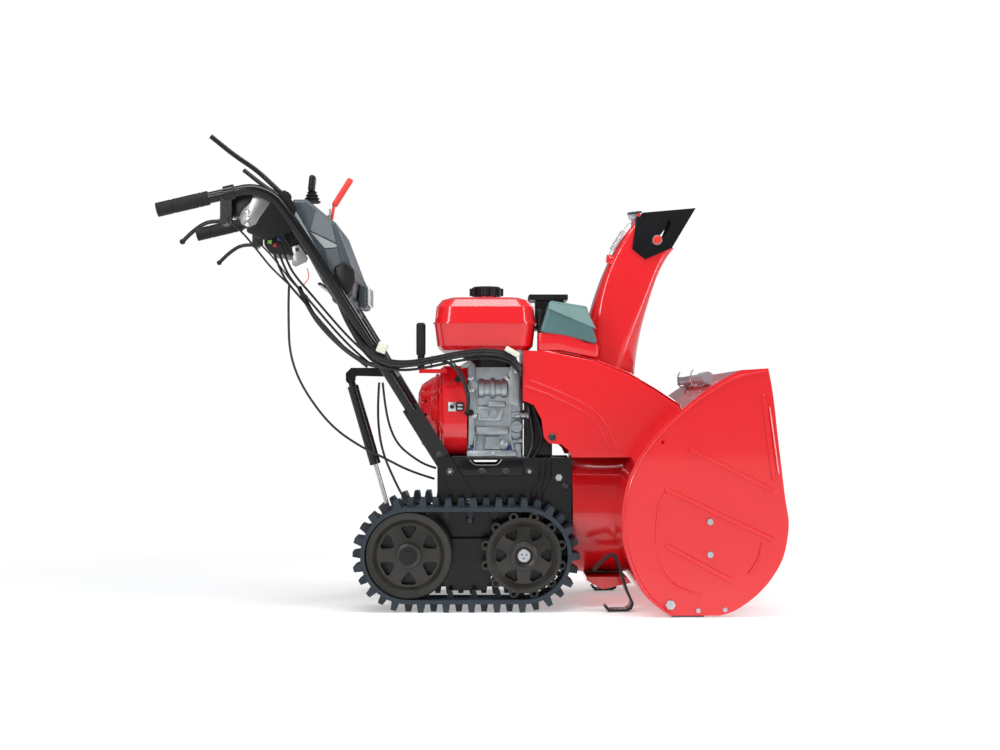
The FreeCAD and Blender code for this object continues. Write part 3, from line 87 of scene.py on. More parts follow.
floor_mesh = bpy.data.meshes.new("studio_floor")
floor_mesh.from_pydata([(-14, -14, -0.0006), (14, -14, -0.0006), (14, 14, -0.0006),
                        (-14, 14, -0.0006)], [], [(0, 1, 2, 3)])
floor = bpy.data.objects.new("studio_floor", floor_mesh)
bpy.context.scene.collection.objects.link(floor)
floor_paper = bpy.data.materials.new("studio_paper")
floor_paper.use_nodes = True
paper = floor_paper.node_tree.nodes["Principled BSDF"]
paper.inputs["Roughness"].default_value = 0.8
paper.inputs["Specular IOR Level"].default_value = 0.1
paper.inputs["Emission Color"].default_value = (1, 1, 1, 1)
spot, reach = (floor_paper.node_tree.nodes.new("ShaderNodeTexCoord"),
               floor_paper.node_tree.nodes.new("ShaderNodeVectorMath"))
reach.operation = "LENGTH"
fade, glow = (floor_paper.node_tree.nodes.new("ShaderNodeMapRange") for k in range(2))
for ramp, near_value, far_value in ((fade, 0.86, 0.0), (glow, 0.36, 1.0)):
    ramp.interpolation_type = "SMOOTHSTEP"
    ramp.inputs["From Min"].default_value = 0.85
    ramp.inputs["From Max"].default_value = 2.1
    ramp.inputs["To Min"].default_value = near_value
    ramp.inputs["To Max"].default_value = far_value
    floor_paper.node_tree.links.new(reach.outputs["Value"], ramp.inputs["Value"])
floor_paper.node_tree.links.new(spot.outputs["Object"], reach.inputs[0])
floor_paper.node_tree.links.new(fade.outputs["Result"], paper.inputs["Base Color"])
floor_paper.node_tree.links.new(glow.outputs["Result"], paper.inputs["Emission Strength"])
floor_mesh.materials.append(floor_paper)

# ------------------------------------------------------------------ red sheet steel
# Pressed steel sheet, phosphated and baked with thick gloss red enamel: the auger housing,
# its two end sheets, the snow drum, the belt cover and the flights.
def make_skin():
    """One surface effect for every finish: slow colour wander, fine grain and its relief."""
    skin = bpy.data.node_groups.new("surface_skin", "ShaderNodeTree")
    face = skin.interface
    for label, kind, amount in (("Colour", "NodeSocketColor", (0.5, 0.5, 0.5, 1)),
                                ("Patch Colour", "NodeSocketColor", (0.4, 0.4, 0.4, 1)),
                                ("Patch Scale", "NodeSocketFloat", 4.0),
                                ("Patch Amount", "NodeSocketFloat", 0.5),
                                ("Grain Scale", "NodeSocketFloat", 300.0),
                                ("Roughness", "NodeSocketFloat", 0.4),
                                ("Roughness Spread", "NodeSocketFloat", 0.1)):
        socket = face.new_socket(name=label, in_out="INPUT", socket_type=kind)
        socket.default_value = amount
    for label, kind in (("Colour", "NodeSocketColor"), ("Roughness", "NodeSocketFloat"),
                        ("Height", "NodeSocketFloat")):
        face.new_socket(name=label, in_out="OUTPUT", socket_type=kind)
    new, link = skin.nodes.new, skin.links.new
    entry, leave = new("NodeGroupInput"), new("NodeGroupOutput")
    place = new("ShaderNodeTexCoord")
    patch, grain = new("ShaderNodeTexNoise"), new("ShaderNodeTexNoise")
    patch.inputs["Detail"].default_value = 5
    grain.inputs["Detail"].default_value = 3
    for texture, scale in ((patch, "Patch Scale"), (grain, "Grain Scale")):
        link(place.outputs["Object"], texture.inputs["Vector"])
        link(entry.outputs[scale], texture.inputs["Scale"])
    spread = new("ShaderNodeMapRange")
    spread.inputs["From Min"].default_value = 0.38
    spread.inputs["From Max"].default_value = 0.66
    link(patch.outputs["Fac"], spread.inputs["Value"])
    amount = new("ShaderNodeMath")
    amount.operation = "MULTIPLY"
    link(spread.outputs["Result"], amount.inputs[0])
    link(entry.outputs["Patch Amount"], amount.inputs[1])
    tint = new("ShaderNodeMix")
    tint.data_type = "RGBA"
    link(amount.outputs["Value"], tint.inputs["Factor"])
    link(entry.outputs["Colour"], tint.inputs["A"])
    link(entry.outputs["Patch Colour"], tint.inputs["B"])
    rough = new("ShaderNodeMath")
    rough.operation = "MULTIPLY_ADD"
    link(spread.outputs["Result"], rough.inputs[0])
    link(entry.outputs["Roughness Spread"], rough.inputs[1])
    link(entry.outputs["Roughness"], rough.inputs[2])
    link(tint.outputs["Result"], leave.inputs["Colour"])
    link(rough.outputs["Value"], leave.inputs["Roughness"])
    link(grain.outputs["Fac"], leave.inputs["Height"])
    return skin


surface_skin = make_skin()


def finish(name, colour, patch, rough, spread=0.08, metal=0.0, coat=0.0, patch_scale=4.0,
           patch_amount=0.5, grain=300.0, relief=0.1, depth=0.0004, specular=0.5):
    """A shader whose colour, roughness and relief come from the surface skin."""
    material = bpy.data.materials.new(name)
    material.use_nodes = True
    tree = material.node_tree
    shader = tree.nodes["Principled BSDF"]
    skin = tree.nodes.new("ShaderNodeGroup")
    skin.node_tree = surface_skin
    for label, amount in (("Colour", (*colour, 1)), ("Patch Colour", (*patch, 1)),
                          ("Patch Scale", patch_scale), ("Patch Amount", patch_amount),
                          ("Grain Scale", grain), ("Roughness", rough),
                          ("Roughness Spread", spread)):
        skin.inputs[label].default_value = amount
    bump = tree.nodes.new("ShaderNodeBump")
    bump.inputs["Strength"].default_value = relief
    bump.inputs["Distance"].default_value = depth
    tree.links.new(skin.outputs["Colour"], shader.inputs["Base Color"])
    tree.links.new(skin.outputs["Roughness"], shader.inputs["Roughness"])
    tree.links.new(skin.outputs["Height"], bump.inputs["Height"])
    tree.links.new(bump.outputs["Normal"], shader.inputs["Normal"])
    shader.inputs["Metallic"].default_value = metal
    shader.inputs["Coat Weight"].default_value = coat
    shader.inputs["Coat Roughness"].default_value = 0.04
    shader.inputs["Specular IOR Level"].default_value = specular
    return material


def dress(material, *names, crease=32):
    """Give CAD parts their finish and shade their curved faces smoothly."""
    for name in names:
        mesh = nodes[name].data
        mesh.materials.clear()
        mesh.materials.append(material)
        mesh.shade_smooth()
        mesh.set_sharp_from_angle(angle=math.radians(crease))


red_enamel = finish("red_enamel", (0.80, 0.012, 0.018), (0.72, 0.009, 0.013), 0.17, 0.06,
                    coat=0.7, patch_scale=2.5, patch_amount=0.35, grain=60, relief=0.05,
                    depth=0.001)
dress(red_enamel, "belt_cover", "auger_housing", "impeller_housing", "side_plates",
      "auger_flights", "impeller", "chute_tube", "fan_housing")
dress(red_enamel, "fuel_tank", crease=55)

# ------------------------------------------------------------------ black frame steel
# Folded and welded plate and bent tube in gloss black enamel, with levers of round bar.
black_enamel = finish("black_enamel", (0.005, 0.005, 0.006), (0.009, 0.009, 0.011), 0.2, 0.1,
                      coat=0.18, patch_scale=7, grain=140, relief=0.1, depth=0.0006, specular=0.28)
dress(black_enamel, "main_frame", "handle_tubes", "handle_cross_braces", "lever_mounts",
      "clutch_lever_right", "clutch_lever_left", "steering_lever_right",
      "steering_lever_left", "strut_cylinder", "skid_shoes_and_scraper", "track_carriage",
      "deflector")

# ------------------------------------------------------------------ bright steel
# Shafts and pulleys turned from bar and left bright, and fasteners and wire clips that are
# zinc-plated after forming; the shafts run in the bearings and gear cases.
bright_steel = finish("bright_steel", (0.52, 0.53, 0.54), (0.4, 0.41, 0.42), 0.24, 0.16,
                      metal=1.0, patch_scale=18, grain=500, relief=0.08, depth=0.0002)
zinc_plate = finish("zinc_plate", (0.62, 0.64, 0.66), (0.5, 0.53, 0.58), 0.22, 0.2,
                    metal=1.0, patch_scale=60, grain=700, relief=0.1, depth=0.0002)
dress(bright_steel, "auger_shaft", "crank_rotors", "transmission_pulley", "belt_tensioner",
      "chute_pinion", "strut_rod", "joystick_gimbal", "auger_bearings")
dress(zinc_plate, "fasteners_and_clips", "deflector_spring")

# ------------------------------------------------------------------ engine castings
# Pressure die-cast aluminium, left raw: pale, mottled and slightly rough.  The gear case and
# the muffler are dark iron and steel; all of them are bolted up.
cast_alloy = finish("cast_alloy", (0.46, 0.5, 0.52), (0.25, 0.29, 0.31), 0.3, 0.22,
                    metal=0.85, patch_scale=16, patch_amount=0.8, grain=420, relief=0.35,
                    depth=0.0007)
cast_iron = finish("cast_iron", (0.08, 0.08, 0.085), (0.13, 0.12, 0.115), 0.5, 0.2,
                   metal=0.6, patch_scale=22, grain=260, relief=0.6, depth=0.001)
dress(cast_alloy, "engine_block", "transmission_case")
dress(cast_iron, "auger_gearcase", "muffler")

# ------------------------------------------------------------------ rubber tracks and wheels
# Moulded rubber belts with steel cords, over glass-filled nylon sprockets and idlers that
# turn on axles in the carriage.
track_rubber = finish("track_rubber", (0.012, 0.022, 0.033), (0.022, 0.036, 0.05), 0.46, 0.2,
                      patch_scale=26, patch_amount=0.6, grain=650, relief=0.35, depth=0.0006)
wheel_nylon = finish("wheel_nylon", (0.02, 0.018, 0.014), (0.03, 0.027, 0.022), 0.3, 0.12,
                     patch_scale=20, grain=900, relief=0.25, depth=0.0004)
dress(track_rubber, "track_belts")
dress(wheel_nylon, "idler_right", "idler_left", "sprocket_right", "sprocket_left")

# ------------------------------------------------------------------ moulded covers and grips
# Injection-moulded console, intake cover and caps, screwed or clipped on, with soft rubber
# grips pushed over the bar ends.
console_grey = finish("console_grey", (0.05, 0.066, 0.08), (0.06, 0.077, 0.09), 0.38, 0.1,
                      patch_scale=8, grain=1100, relief=0.22, depth=0.0003)
teal_cover = finish("teal_cover", (0.075, 0.165, 0.165), (0.1, 0.2, 0.2), 0.28, 0.1, coat=0.2,
                    patch_scale=6, grain=500, relief=0.08, depth=0.0003)
black_moulding = finish("black_moulding", (0.007, 0.007, 0.008), (0.013, 0.013, 0.014), 0.36,
                        0.15, patch_scale=14, grain=900, relief=0.25, depth=0.0004,
                        specular=0.3)
grip_rubber = finish("grip_rubber", (0.009, 0.009, 0.01), (0.016, 0.016, 0.017), 0.5, 0.12,
                     patch_scale=40, grain=1200, relief=0.4, depth=0.0004, specular=0.3)
red_moulding = finish("red_moulding", (0.86, 0.04, 0.025), (0.78, 0.03, 0.02), 0.3, 0.08,
                      coat=0.3, patch_scale=12, grain=700, relief=0.08, depth=0.0002)
grey_moulding = finish("grey_moulding", (0.3, 0.34, 0.36), (0.38, 0.42, 0.44), 0.36, 0.12,
                       patch_scale=16, grain=800, relief=0.15, depth=0.0003)
dress(console_grey, "console_shell")
dress(teal_cover, "intake_cover")
dress(black_moulding, "carburettor_and_cleaner", "chute_motor", "chute_joystick", "fuel_cap",
      "drive_belts")
dress(grip_rubber, "handle_grips", "starter_handle")
dress(red_moulding, "speed_lever")
dress(grey_moulding, "oil_filler_cap", "ignition_key", "snow_clearing_stick")
lens = finish("headlight_clear", (0.85, 0.87, 0.9), (0.8, 0.83, 0.87), 0.08, 0.05, coat=0.6,
              grain=90, relief=0.3, depth=0.001)
dress(lens, "headlight_lens")

# ------------------------------------------------------------------ control cables
# Sheathed bowden cables and a wrapped loom; each runs on its own smooth line between the
# clamps that hold it.
cable_sheath = finish("cable_sheath", (0.01, 0.01, 0.011), (0.02, 0.02, 0.021), 0.34, 0.12,
                      patch_scale=60, grain=900, relief=0.15, depth=0.0002)


def run_cable(name, radius, route):
    """A smooth line through given control points, with round section."""
    line = bpy.data.curves.new(name + "_run", "CURVE")
    line.dimensions = "3D"
    line.resolution_u = 10
    line.bevel_depth = radius
    line.bevel_resolution = 4
    line.use_fill_caps = True
    spline = line.splines.new("NURBS")
    spline.points.add(len(route) - 1)
    for point, spot in zip(spline.points, route):
        point.co = (spot[0] / 1000, spot[1] / 1000, spot[2] / 1000, 1)
    spline.order_u = 3
    spline.use_endpoint_u = True
    line.materials.append(cable_sheath)
    piece = bpy.data.objects.new(name + "_run", line)
    bpy.context.scene.collection.objects.link(piece)
    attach(piece, "chassis")
    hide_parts(name)
    return piece


run_cable("speed_cable", 0.003, (
    (-450, -190, 806), (-452, -186, 770), (-452, -182, 706), (-450, -178, 640),
    (-432, -172, 577), (-398, -164, 516), (-346, -156, 450), (-282, -150, 404),
    (-216, -146, 372), (-150, -118, 336), (-92, -100, 318)))
run_cable("drive_cable", 0.003, (
    (-232, -100, 562), (-236, -100, 500), (-232, -98, 430), (-220, -96, 376),
    (-196, -94, 320), (-170, -92, 268), (-140, -90, 232), (-92, -88, 226)))
run_cable("auger_cable", 0.003, (
    (-224, -84, 562), (-218, -82, 500), (-204, -80, 440), (-182, -78, 400),
    (-150, -76, 374), (-116, -74, 352), (-88, -72, 344)))
run_cable("wiring_harness", 0.006, (
    (-430, -150, 800), (-400, -168, 736), (-350, -178, 676), (-290, -190, 624),
    (-236, -213, 598), (-160, -213, 600), (-84, -206, 618), (-10, -202, 630),
    (60, -202, 630), (112, -200, 618), (126, -196, 590)))
for side, name in ((-1, "steering_cable_right"), (1, "steering_cable_left")):
    run_cable(name, 0.0025, (
        (-600, side * 262, 966), (-560, side * 250, 930), (-520, side * 236, 880),
        (-486, side * 222, 836), (-446, side * 204, 800)))

# ------------------------------------------------------------------ belt cover creases
# The cover is one steel pressing; a double crease is struck into its lower half to stiffen
# it, and carries highlights in the paint.
def settle(piece, body, material):
    """Give a new piece its finish, soft shading and body."""
    piece.data.materials.append(material)
    if piece.type == "MESH":
        piece.data.shade_smooth()
        piece.data.set_sharp_from_angle(angle=math.radians(35))
    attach(piece, body)
    return piece


def drawn_bar(name, route, radius, body, material, flat=1.0, cyclic=False):
    """A bar along a smooth line; the flat argument is not used."""
    line = bpy.data.curves.new(name, "CURVE")
    line.dimensions = "3D"
    line.resolution_u = 8
    line.bevel_depth = radius / 1000
    line.bevel_resolution = 3
    line.use_fill_caps = True
    spline = line.splines.new("NURBS")
    spline.points.add(len(route) - 1)
    for point, spot in zip(spline.points, route):
        point.co = (spot[0] / 1000, spot[1] / 1000, spot[2] / 1000, 1)
    spline.order_u = 3
    spline.use_endpoint_u = not cyclic
    spline.use_cyclic_u = cyclic
    curve = bpy.data.objects.new(name, line)
    mesh = bpy.data.meshes.new_from_object(curve)
    bpy.data.objects.remove(curve)
    mesh.name = name
    piece = bpy.data.objects.new(name, mesh)
    bpy.context.scene.collection.objects.link(piece)
    return settle(piece, body, material)


for side in (-1, 1):
    for shift in (0, 13):
        label = "cover_crease_%s_%d" % ("right" if side < 0 else "left", shift)
        drawn_bar(label, [(x + shift, side * 189.2, z + shift) for x, z in (
            (134, 552), (180, 536), (250, 505), (296, 479), (322, 452), (340, 412), (356, 380))],
            2.6, "chassis", red_enamel)
for y in (-176, 176):
    drawn_bar("cover_hem_%d" % (y > 0), [(258, y, 376.5), (330, y, 376.5), (404, y, 376.5)],
              2.2, "chassis", red_enamel)


def turned_piece(name, outline, spot, axis, body, material, sides=40):
    """A lathe-turned piece: (radius, distance along) in millimetres about an axis."""
    mesh = bpy.data.meshes.new(name)
    shape = bmesh.new()
    rings = []
    for radius, along in outline:
        ring = []
        for k in range(sides):
            a = 2 * math.pi * k / sides
            ring.append(shape.verts.new((radius * math.cos(a) / 1000,
                                         radius * math.sin(a) / 1000, along / 1000)))
        rings.append(ring)
    for low, high in zip(rings, rings[1:]):
        for k in range(sides):
            shape.faces.new((low[k], low[(k + 1) % sides], high[(k + 1) % sides], high[k]))
    shape.faces.new(rings[0][::-1])
    shape.faces.new(rings[-1])
    turn = Vector((0, 0, 1)).rotation_difference(Vector(axis)).to_matrix().to_4x4()
    place = Matrix.Translation(Vector(spot) / 1000) @ turn
    bmesh.ops.transform(shape, matrix=place, verts=shape.verts)
    shape.to_mesh(mesh)
    shape.free()
    piece = bpy.data.objects.new(name, mesh)
    bpy.context.scene.collection.objects.link(piece)
    return settle(piece, body, material)


def moulded_block(name, low, high, radius, body, material, tilt=0.0):
    """A block with generously rounded edges, tilted about the Y axis through its middle."""
    mesh = bpy.data.meshes.new(name)
    shape = bmesh.new()
    bmesh.ops.create_cube(shape, size=1)
    low, high = Vector(low) / 1000, Vector(high) / 1000
    middle, size = (low + high) / 2, high - low
    bmesh.ops.scale(shape, vec=size, verts=shape.verts)
    bmesh.ops.bevel(shape, geom=shape.edges[:], offset=radius / 1000, segments=4,
                    affect="EDGES", profile=0.5)
    place = Matrix.Translation(middle) @ Matrix.Rotation(math.radians(tilt), 4, "Y")
    bmesh.ops.transform(shape, matrix=place, verts=shape.verts)
    shape.to_mesh(mesh)
    shape.free()
    piece = bpy.data.objects.new(name, mesh)
    bpy.context.scene.collection.objects.link(piece)
    return settle(piece, body, material)


# ------------------------------------------------------------------ engine side
# The crankcase face: flanges, a round barrel with collars, rails, a disc plate, ports and
# drain plugs, all cast in one with the case, and steel through bolts.
def flat_piece(name, outline, near, far, round_off, body, material):
    """A flat-sided piece from an outline in X and Z, its edges bevelled."""
    mesh = bpy.data.meshes.new(name)
    shape = bmesh.new()
    rows = []
    for y in (near, far):
        rows.append([shape.verts.new((x / 1000, y / 1000, z / 1000)) for x, z in outline])
    shape.faces.new(rows[0])
    shape.faces.new(rows[1][::-1])
    count = len(outline)
    for k in range(count):
        shape.faces.new((rows[0][k], rows[1][k], rows[1][(k + 1) % count],
                         rows[0][(k + 1) % count]))
    bmesh.ops.recalc_face_normals(shape, faces=shape.faces)
    bmesh.ops.bevel(shape, geom=shape.edges[:], offset=round_off / 1000, segments=3,
                    affect="EDGES", profile=0.5, clamp_overlap=True)
    shape.to_mesh(mesh)
    shape.free()
    piece = bpy.data.objects.new(name, mesh)
    bpy.context.scene.collection.objects.link(piece)
    return settle(piece, body, material)


for name, outline, near, far, soft in (
        ("case_flange_rear", ((-6, 394), (10, 394), (10, 470), (20, 486), (20, 500), (12, 512),
                              (12, 606), (-6, 622), (-6, 560), (-10, 548), (-6, 536)),
         -119, -106, 2),
        ("case_flange_front", ((92, 508), (122, 500), (126, 606), (104, 612), (88, 560)),
         -119, -106, 2),
        ("case_plate", ((18, 464), (76, 464), (78, 500), (18, 502)), -120, -108, 2.5),
        ("case_recess_lid", ((23, 472), (44, 472), (44, 494), (23, 494)), -122.5, -112, 2),
        ("case_bridge", ((43, 499), (90, 499), (88, 515), (43, 515)), -125, -108, 3.5),
        ("case_ledge", ((13, 433), (20, 428), (90, 428), (97, 433), (97, 449), (13, 451)),
         -122, -108, 4),
        ("case_foot", ((-10, 374), (116, 374), (116, 388), (108, 391), (-2, 391), (-10, 388)),
         -121, -106, 2.5),
        ("case_buttress_rear", ((0, 390), (10, 390), (16, 428), (6, 428)), -119, -108, 2.5),
        ("case_buttress_front", ((104, 390), (112, 390), (104, 428), (96, 428)), -119, -108, 2.5),
        ("case_web_low", ((34, 392), (78, 392), (74, 426), (38, 426)), -115.5, -108, 2.5),
        ("case_bracket", ((-24, 596), (-6, 600), (2, 612), (0, 620), (-14, 612), (-24, 606)),
         -124, -119, 1.2)):
    flat_piece(name, outline, near, far, soft, "chassis", cast_alloy)
turned_piece("case_barrel", ((0, 0), (20, 0), (27, 3), (27, 15), (24, 17), (24, 30), (29, 32),
                             (29, 42), (24, 44), (24, 58), (27, 60), (27, 73), (20, 76), (0, 76)),
             (18, -106, 545), (1, 0, 0), "chassis", cast_alloy, 48)
turned_piece("case_disc", ((0, 0), (12, 0), (12, 3), (10.5, 4.2), (8, 4.2), (7.4, 3.4), (0, 3.4)),
             (57, -120, 482), (0, -1, 0), "chassis", cast_alloy, 48)
turned_piece("case_port", ((0, 0), (7, 0), (7, 6), (9.5, 8), (9.5, 20), (7.5, 22), (7.5, 34),
                           (9.5, 36), (9.5, 42), (0, 43)),
             (104, -121, 478), (1, 0, 0), "chassis", cast_alloy)
turned_piece("case_port_low", ((0, 0), (6, 0), (6, 12), (8, 14), (8, 24), (0, 25)),
             (106, -121, 412), (1, 0, 0.15), "chassis", cast_alloy)
turned_piece("filler_neck", ((0, 0), (17, 0), (17, 7), (14.5, 9), (14.5, 17), (0, 17)),
             (116, -109, 450), (0, -1, 0), "chassis", cast_alloy)
turned_piece("drain_plug", ((0, 0), (11, 0), (11, 3), (8, 4), (8, 10), (6, 11), (0, 11)),
             (84, -119, 406), (0, -1, 0), "chassis", cast_alloy, 6)
for k, (x, z) in enumerate(((3, 544), (9, 478), (-1, 573), (92, 574), (57, 381), (116, 590))):
    turned_piece("case_bolt_%d" % k, ((0, 0), (6.5, 0), (6.5, 2), (5, 2.6), (5, 7), (3.4, 8),
                                      (3.4, 6.4), (0, 6.4)),
                 (x, -118.5, z), (0, -1, 0), "chassis", zinc_plate, 6 if k % 2 else 24)
blue_lock = finish("blue_lock_paint", (0.02, 0.035, 0.14), (0.015, 0.02, 0.08), 0.34, 0.1,
                   patch_scale=40, grain=500, relief=0.2, depth=0.0003)
for k, x in enumerate((1, 99)):
    turned_piece("foot_nut_%d" % k,
                 ((0, 0), (8, 0), (8, 5), (6.5, 6.4), (6.5, 13), (4, 14), (0, 14)),
                 (x, -114, 391), (0, 0, 1), "chassis", blue_lock, 6)

# ------------------------------------------------------------------ behind the engine face
# Dark parts seen past the case: a black block over it that stands in for the shaded gap up to the
# tank (painted shade), the belt guard, hoses and the shroud's stiffening rim; plus the switch plate
# screwed to the fan housing.
# painted shade: a black block set over the case where the gap below the tank lies in shadow
flat_piece("case_gap_shade_block", ((20, 592), (96, 592), (94, 640), (26, 640)), -104, -40, 5, "chassis",
           black_moulding)
flat_piece("belt_guard", ((134, 376), (206, 376), (206, 412), (184, 424), (178, 470), (160, 506),
                          (134, 512)), -112, -104, 3, "chassis", black_moulding)
flat_piece("intake_shroud", ((168, 638), (168, 685), (223, 685), (252, 679), (285, 662), (318, 656),
                             (318, 621), (222, 640)), -186, -100, 6, "chassis",
           red_enamel)
flat_piece("fuel_valve", ((168, 640), (182, 646), (182, 740), (168, 748)), -150, -118, 4,
           "chassis", black_moulding)
for k, (x, lean) in enumerate(((146, 6), (158, 12))):
    drawn_bar("drain_hose_%d" % k,
              [(x, -118, 500), (x + lean, -122, 462), (x + 2 * lean, -124, 424),
               (x + lean, -127, 388), (x - 4 + 2 * k, -128.5, 372)], 4,
              "chassis", cable_sheath)
turned_piece("shroud_rim",
             ((0, 0), (101, 0), (105.5, 2), (107, 6), (105.5, 10), (101, 12), (0, 12)),
             (-92, 0, 480), (1, 0, 0), "chassis", red_enamel, 72)
turned_piece("shroud_plug", ((0, 0), (8, 0), (8, 3), (6, 4.5), (0, 4.5)), (-33, -128, 569),
             (0, -1, 0), "chassis", black_moulding)
flat_piece("switch_plate", ((-57, 488), (-36, 488), (-36, 512), (-57, 512)), -133.5, -127.5, 1.6,
           "chassis", zinc_plate)
flat_piece("switch_body", ((-36, 490), (-18, 490), (-18, 511), (-36, 511)), -137, -126, 2.5,
           "chassis", black_moulding)
for k in range(2):
    flat_piece("switch_tab_%d" % k, ((-33, 493 + 9 * k), (-20, 493 + 9 * k), (-20, 498 + 9 * k),
                                     (-33, 498 + 9 * k)), -139, -136, 0.8, "chassis",
               zinc_plate)
turned_piece("switch_button", ((0, 0), (5, 0), (5, 5), (3.5, 6.5), (0, 6.5)), (-47, -133, 500),
             (0, -1, 0), "chassis", black_moulding)
drawn_bar("switch_wire", [(-10, -140, 486), (-5, -150, 512), (-14, -152, 552), (-34, -156, 594),
                          (-62, -176, 616), (-92, -200, 616)], 3.6, "chassis",
          cable_sheath)
drawn_bar("plug_wire", [(-6, -140, 488), (-1, -148, 516), (-9, -150, 556), (-30, -154, 600),
                        (-58, -170, 624)], 2.2, "chassis", cable_sheath)
turned_piece("spark_boot", ((0, 0), (7, 0), (8, 4), (6, 12), (7, 18), (4, 24), (0, 24)),
             (2, -122, 486), (-0.6, -0.8, -0.1), "chassis", grip_rubber)

# ------------------------------------------------------------------ looms and ties
# The looms come down the bar in a loose bundle and run under the tank; white nylon plugs
# join them and black ties hold them.
for k, (dy, dz, r) in enumerate(((-4, 9, 3.4), (-7, 2, 4), (-3, -8, 3.4), (1, 14, 2.6))):
    drawn_bar("loom_strand_%d" % k, [(x, y + dy, z + dz * (1 if x > -300 else 1.3)) for x, y, z in (
        (-338, -206, 800), (-320, -206, 745), (-292, -208, 690), (-262, -212, 640),
        (-222, -218, 604), (-160, -218, 596), (-92, -212, 608), (-30, -206, 622),
        (30, -204, 629), (86, -202, 624), (112, -200, 606), (124, -197, 584))], r, "chassis",
              cable_sheath)
for k, (dx, dz) in enumerate(((0, 0), (-9, -10), (-20, -16))):
    drawn_bar("console_strand_%d" % k, [(x + dx, -196 + 4 * k, z + dz) for x, z in (
        (-470, 902), (-452, 852), (-430, 818), (-396, 780), (-352, 728), (-306, 676),
        (-262, 634), (-236, 614))], 3.0, "chassis", cable_sheath)
nylon_white = finish("nylon_white", (0.78, 0.79, 0.66), (0.7, 0.72, 0.58), 0.35, 0.1,
                     patch_scale=30, grain=900, relief=0.1, depth=0.0002)
moulded_block("loom_plug_rear", (-230, -224, 632), (-206, -206, 658), 2.5, "chassis",
              nylon_white, 22)
moulded_block("loom_plug_front", (84, -218, 629), (122, -202, 642), 2.5, "chassis",
              nylon_white, 30)
for k, spot in enumerate(((-278, -208, 666), (-96, -212, 610), (24, -206, 632))):
    ring = []
    for j in range(8):
        a = 2 * math.pi * j / 8
        ring.append((spot[0] + 1.5 * math.sin(a), spot[1] + 13 * math.cos(a),
                     spot[2] + 15 * math.sin(a)))
    drawn_bar("loom_tie_%d" % k, ring, 1.8, "chassis", cable_sheath, cyclic=True)

# ------------------------------------------------------------------ frame hardware
# Flanged bolts with a dark phosphate finish, a bolted channel along the deck, and the
# lip of a recess that leaves room under the drain plug.
flat_piece("deck_channel", ((-34, 326), (130, 326), (134, 366), (78, 366), (68, 354), (8, 354),
                            (-2, 366), (-34, 366)), -127.4, -124, 1.2, "chassis",
           black_enamel)
drawn_bar("deck_lip", [(-2, -127, 367), (6, -128, 356), (14, -128, 353), (62, -128, 353),
                       (70, -128, 356), (78, -127, 367)], 1.5, "chassis", bright_steel)
dark_bolt = finish("phosphate_steel", (0.07, 0.075, 0.08), (0.13, 0.135, 0.14), 0.34, 0.15,
                   metal=0.9, patch_scale=50, grain=600, relief=0.15, depth=0.0003)
for k, (x, y, z) in enumerate(((28, -127, 337), (88, -127, 337), (148, -125, 337),
                               (240, -125, 300), (-52, -133.6, 337), (-4, -133.6, 261),
                               (-2, -156.6, 216), (-80, -133.6, 380), (203, -190, 425))):
    turned_piece("dark_bolt_%d" % k, ((0, 0), (9.6, 0), (9.6, 1.8), (8, 2.6), (8, 5.6), (6.4, 7),
                                      (4.2, 7), (4, 5), (0, 5)),
                 (x, y, z), (0, -1, 0), "chassis", dark_bolt, 24)

# ------------------------------------------------------------------ wheel hubs
# A pressed ring closes each idler and each sprocket; the sprockets end in a turned steel cap.
for side in (-1, 1):
    way = "right" if side < 0 else "left"
    turned_piece("idler_ring_" + way, ((21, 0), (31, 0), (30, 3.4), (26, 5), (22, 3.6)),
                 (-150.6, side * 259.5, 137), (0, side, 0), "idler_" + way,
                 wheel_nylon, 48)
    turned_piece("sprocket_ring_" + way, ((18, 0), (35, 0), (34, 5), (28, 8.5), (22, 6.5), (19, 2)),
                 (130.6, side * 259, 137), (0, side, 0), "sprocket_" + way,
                 wheel_nylon, 48)
    turned_piece("sprocket_cap_" + way, ((0, 0), (16, 0), (16, 5), (14.5, 6.5), (10, 6.5),
                                         (9.4, 5.6), (0, 5.6)),
                 (130.6, side * 259, 137), (0, side, 0), "sprocket_" + way, zinc_plate, 40)
    for k in range(3):
        a = 2 * math.pi * k / 3 + 0.4
        turned_piece("cap_dimple_%s_%d" % (way, k), ((0, 0), (2.2, 0), (1.8, 1.4), (0, 1.4)),
                     (130.6 + 6 * math.cos(a), side * 264.8, 137 + 6 * math.sin(a)), (0, side, 0),
                     "sprocket_" + way, dark_bolt, 12)

# ------------------------------------------------------------------ side sheet beads
# Beads pressed in the steel end sheets, and the rolled hem that stiffens their back edge,
# struck in the same tool as the sheet and painted with it.
for side in (-1, 1):
    way = "right" if side < 0 else "left"
    y = side * 362.0
    for k, line in enumerate((
            ((470, 300), (452, 282), (444, 240), (442, 200), (444, 172)),
            ((444, 150), (450, 124), (464, 96), (488, 74), (520, 60), (552, 56)),
            ((692, 176), (690, 152), (676, 122), (660, 102)),
            ((712, 498), (720, 440), (728, 380), (733, 340)))):
        drawn_bar("side_bead_%s_%d" % (way, k), [(x, y, z) for x, z in line],
                  3.2, "chassis", red_enamel)
    drawn_bar("side_hem_" + way, [(x, y + side * 0.6, z) for x, z in (
        (474, 10), (446, 30), (420, 56), (396, 98), (381, 136), (369, 181), (367, 219),
        (371, 279), (386, 334), (415, 389), (455, 439), (503, 484), (549, 522), (646, 581),
        (706, 585))], 3.0, "chassis", red_enamel)

